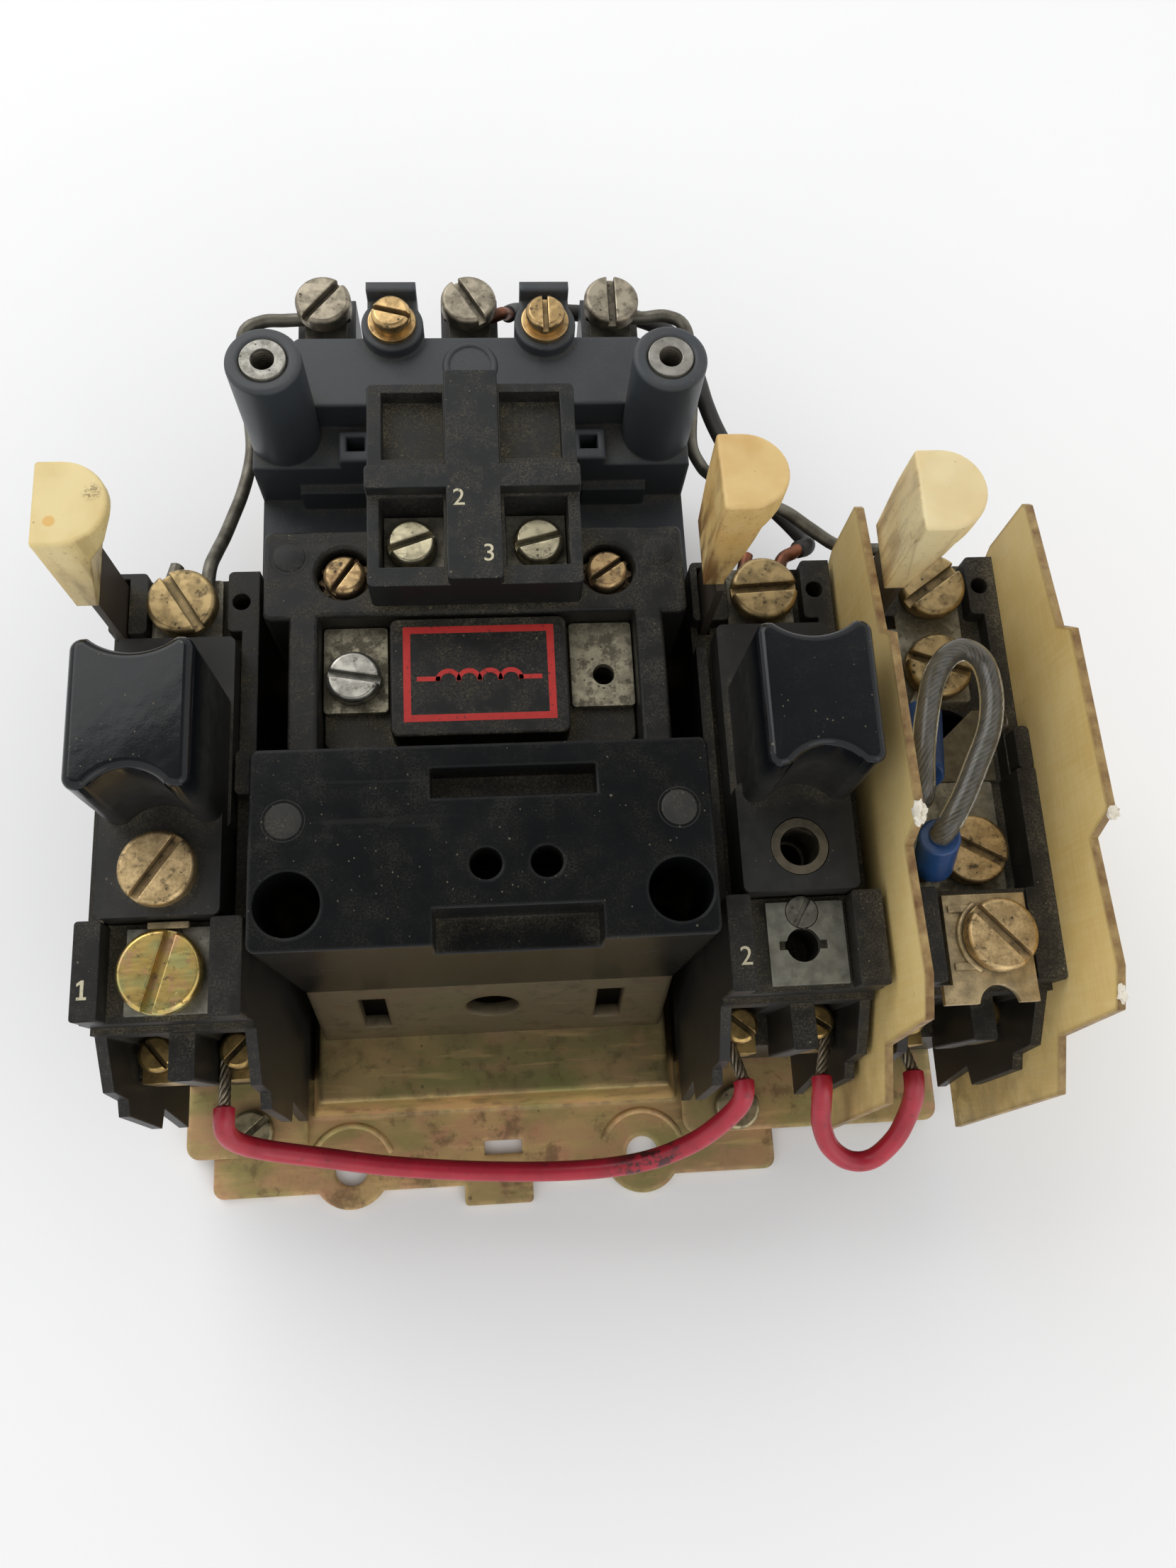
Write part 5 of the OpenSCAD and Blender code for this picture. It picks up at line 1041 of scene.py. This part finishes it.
front_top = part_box("front_block")[1].z / MM
body_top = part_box("contactor_body")[1].z / MM
insert_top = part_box("post_inserts")[1].z / MM
for s, word in SIDES:
    front_pip = lathe(PIP, (s * FRONT_PIP[0], FRONT_PIP[1], front_top), capped=True)
    smooth_piece("front_pip_" + word, *front_pip, "pip", "black_phenolic")
    body_pip = lathe(PIP, (s * BODY_PIP[0], BODY_PIP[1], body_top), capped=True)
    smooth_piece("body_pip_" + word, *body_pip, "contactor_body", "black_phenolic")
smooth_piece("arc_boss", *lathe(BOSS, BOSS_AT, capped=True), "arc_chamber", "slate_phenolic")
for s, word in SIDES:
    thread = lathe(THREAD, (s * POST[0], POST[1], insert_top))
    smooth_piece("insert_thread_" + word, *thread, "load_straps", "nickel_plate")
    washer = toothed_ring((s * WASHER_AT[0], *WASHER_AT[1:]), *WASHER)
    new_piece("toothed_washer_" + word, *washer, "aux_mount_screws", "bronze_screw")
    ridge = turn_round(s * HOLE[0], HOLE[1], PLATE_Z - RIDGE_DEPTH, *RIDGE_ARC)
    smooth_piece("plate_ridge_" + word, *tube(ridge, RIDGE_R), "plate", "zinc_plate")

lip = turn_round(RIGHT_LOAD_X, LOAD_Y, LOAD_PLATE_Z + LIP_RISE, *LIP_ARC)
smooth_piece("clip_lip", *tube(lip, LIP_R), "load_clip_plate", "bronze_screw")
smooth_piece("trip_spring_eye", *wire_ring(EYE_AT, *EYE), "spring", "spring_steel")
strip = cut_plate(STRIP, RELAY_DECK_Z, RELAY_DECK_Z + STRIP_T)
soften(new_piece("trip_strip", *strip, "strip", "nickel_plate"), SHEET_EDGE)
tongue = cut_plate(TONGUE, LOAD_PLATE_Z, LOAD_PLATE_Z + TONGUE_T)
soften(new_piece("load_tongue", *tongue, "load_clip_plate", "bronze_screw"), SHEET_EDGE)
for word, (centre, size) in FLAKES.items():
    smooth_piece("torn_flake_" + word, *flake(centre, size), "torn", "barrier_sheet")

# Plain numbers in cream paint
NUMBER_H = 2.6
NUMBER_RISE = 0.05
# Height of a figure as a share of the font's size
FIGURE_SHARE = 0.7
ONE_AT = (-53.7, -29.2)
ONE = [
    (-0.65, -1.3), (0.65, -1.3), (0.65, -0.92), (0.22, -0.92), (0.22, 1.3), (-0.14, 1.3),
    (-0.7, 0.9), (-0.7, 0.5), (-0.22, 0.78), (-0.22, -0.92), (-0.65, -0.92)]


def number(name, text, x, y, z):
    curve = settled(
        bpy.data.curves.new(name, "FONT"), body=text, size=NUMBER_H * MM / FIGURE_SHARE,
        extrude=NUMBER_RISE * MM, align_x="CENTER", align_y="CENTER")
    made = show(name + "_text", curve)
    bpy.context.view_layer.update()
    mesh = bpy.data.meshes.new_from_object(made.evaluated_get(bpy.context.evaluated_depsgraph_get()))
    bpy.data.objects.remove(made)
    mesh.transform(Matrix.Translation(at(x, y, z)))
    add_piece(name, mesh, "cream")


aux_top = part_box("aux_block")[1].z / MM
number("number_aux_2", "2", -2.06, 36.3, aux_top)
number("number_aux_3", "3", 1.95, 27.6, aux_top)
outline = [(ONE_AT[0] + x, ONE_AT[1] + y) for x, y in ONE]
one = cut_plate(outline, LOAD_TOP_Z - NUMBER_RISE, LOAD_TOP_Z + NUMBER_RISE)
new_piece("number_load_1", *one, "cream", "black_phenolic")
number("number_load_2", "2", 35.4, -28.7, LOAD_TOP_Z)

# Coil label: a red frame round a coil symbol
LABEL_HW = 10.4
LABEL_Y = (7.0, 20.5)
LABEL_LINE = 1.05
LABEL_RISE = 0.04
SYMBOL_Y = 12.6
SYMBOL_R = 1.5
SYMBOL_LINE = 0.7
SYMBOL_TURNS = 4

coil_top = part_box("coil")[1].z / MM
border = [(-LABEL_HW, LABEL_Y[0]), (LABEL_HW, LABEL_Y[0]), (LABEL_HW, LABEL_Y[1]), (-LABEL_HW, LABEL_Y[1])]
symbol = []
reach = SYMBOL_TURNS * SYMBOL_R
for s in (-1, 1):
    symbol.append([(s * x, SYMBOL_Y + SYMBOL_LINE / 2) for x in (reach - SYMBOL_LINE / 2, 1.5 * reach)])
for k in range(SYMBOL_TURNS):
    bend = turn_round(SYMBOL_R * (2 * k + 1) - reach, SYMBOL_Y, 0, SYMBOL_R, 180, 0)
    symbol.append([p[:2] for p in bend])
label = joined(
    ribbon(border, LABEL_LINE, coil_top, LABEL_RISE, True),
    *(ribbon(path, SYMBOL_LINE, coil_top, LABEL_RISE) for path in symbol))
new_piece("coil_label", *label, "label_red", "red_pvc")


# Camera, light and floor
def lay_floor():
    h = FLOOR_SIZE / 2
    mesh = bpy.data.meshes.new("floor")
    mesh.from_pydata([(-h, -h, 0), (h, -h, 0), (h, h, 0), (-h, h, 0)], [], [(0, 1, 2, 3)])
    floor = show("floor", mesh)
    finish(floor, "floor")
    floor.location.z = FLOOR_Z


def light_sky():
    """White all round, and dimmer overhead, so that upward gloss stays dark."""
    world = bpy.data.worlds.new("studio")
    world.use_nodes = True
    tree = world.node_tree
    height = tree.nodes.new("ShaderNodeSeparateXYZ")
    tree.links.new(tree.nodes.new("ShaderNodeTexCoord").outputs["Generated"], height.inputs[0])
    dimmed = settled(tree.nodes.new("ShaderNodeMapRange"), interpolation_type="SMOOTHSTEP")
    tree.links.new(height.outputs["Z"], dimmed.inputs["Value"])
    limits = (*ZENITH_COS, SKY_STRENGTH, SKY_STRENGTH * ZENITH_SHARE)
    for key, value in zip(("From Min", "From Max", "To Min", "To Max"), limits):
        dimmed.inputs[key].default_value = value
    sky = tree.nodes["Background"]
    sky.inputs["Color"].default_value = (1.0, 1.0, 1.0, 1.0)
    tree.links.new(dimmed.outputs["Result"], sky.inputs["Strength"])
    bpy.context.scene.world = world


def hang_lamps():
    for name, (power, size, place) in LAMPS.items():
        light = bpy.data.lights.new(name, "AREA")
        lamp = show(name, settled(light, energy=power, shape="DISK", size=size))
        lamp.location = place
        lamp.rotation_euler = (Vector(LAMP_TARGET) - Vector(place)).to_track_quat("-Z", "Y").to_euler()


def set_camera():
    camera = show("camera", bpy.data.cameras.new("camera"))
    lens = FOCAL_PX / PHOTO_H * SENSOR
    settled(camera.data, sensor_width=SENSOR, lens=lens, clip_start=CLIP[0], clip_end=CLIP[1])
    angles = (CAMERA_PITCH, CAMERA_YAW, CAMERA_ROLL)
    (cp, sp), (cy, sy), (cr, sr) = ((math.cos(a), math.sin(a)) for a in angles)
    ahead = Vector((sy * cp, cy * cp, -sp))
    right = Vector((cy, -sy, 0.0))
    up = right.cross(ahead)
    turned = Matrix((right * cr + up * sr, up * cr - right * sr, -ahead)).transposed().to_4x4()
    turned.translation = at(*CAMERA_AT)
    camera.matrix_world = turned
    bpy.context.scene.camera = camera
    bpy.context.scene.view_settings.view_transform = "Standard"


lay_floor()
light_sky()
hang_lamps()
set_camera()
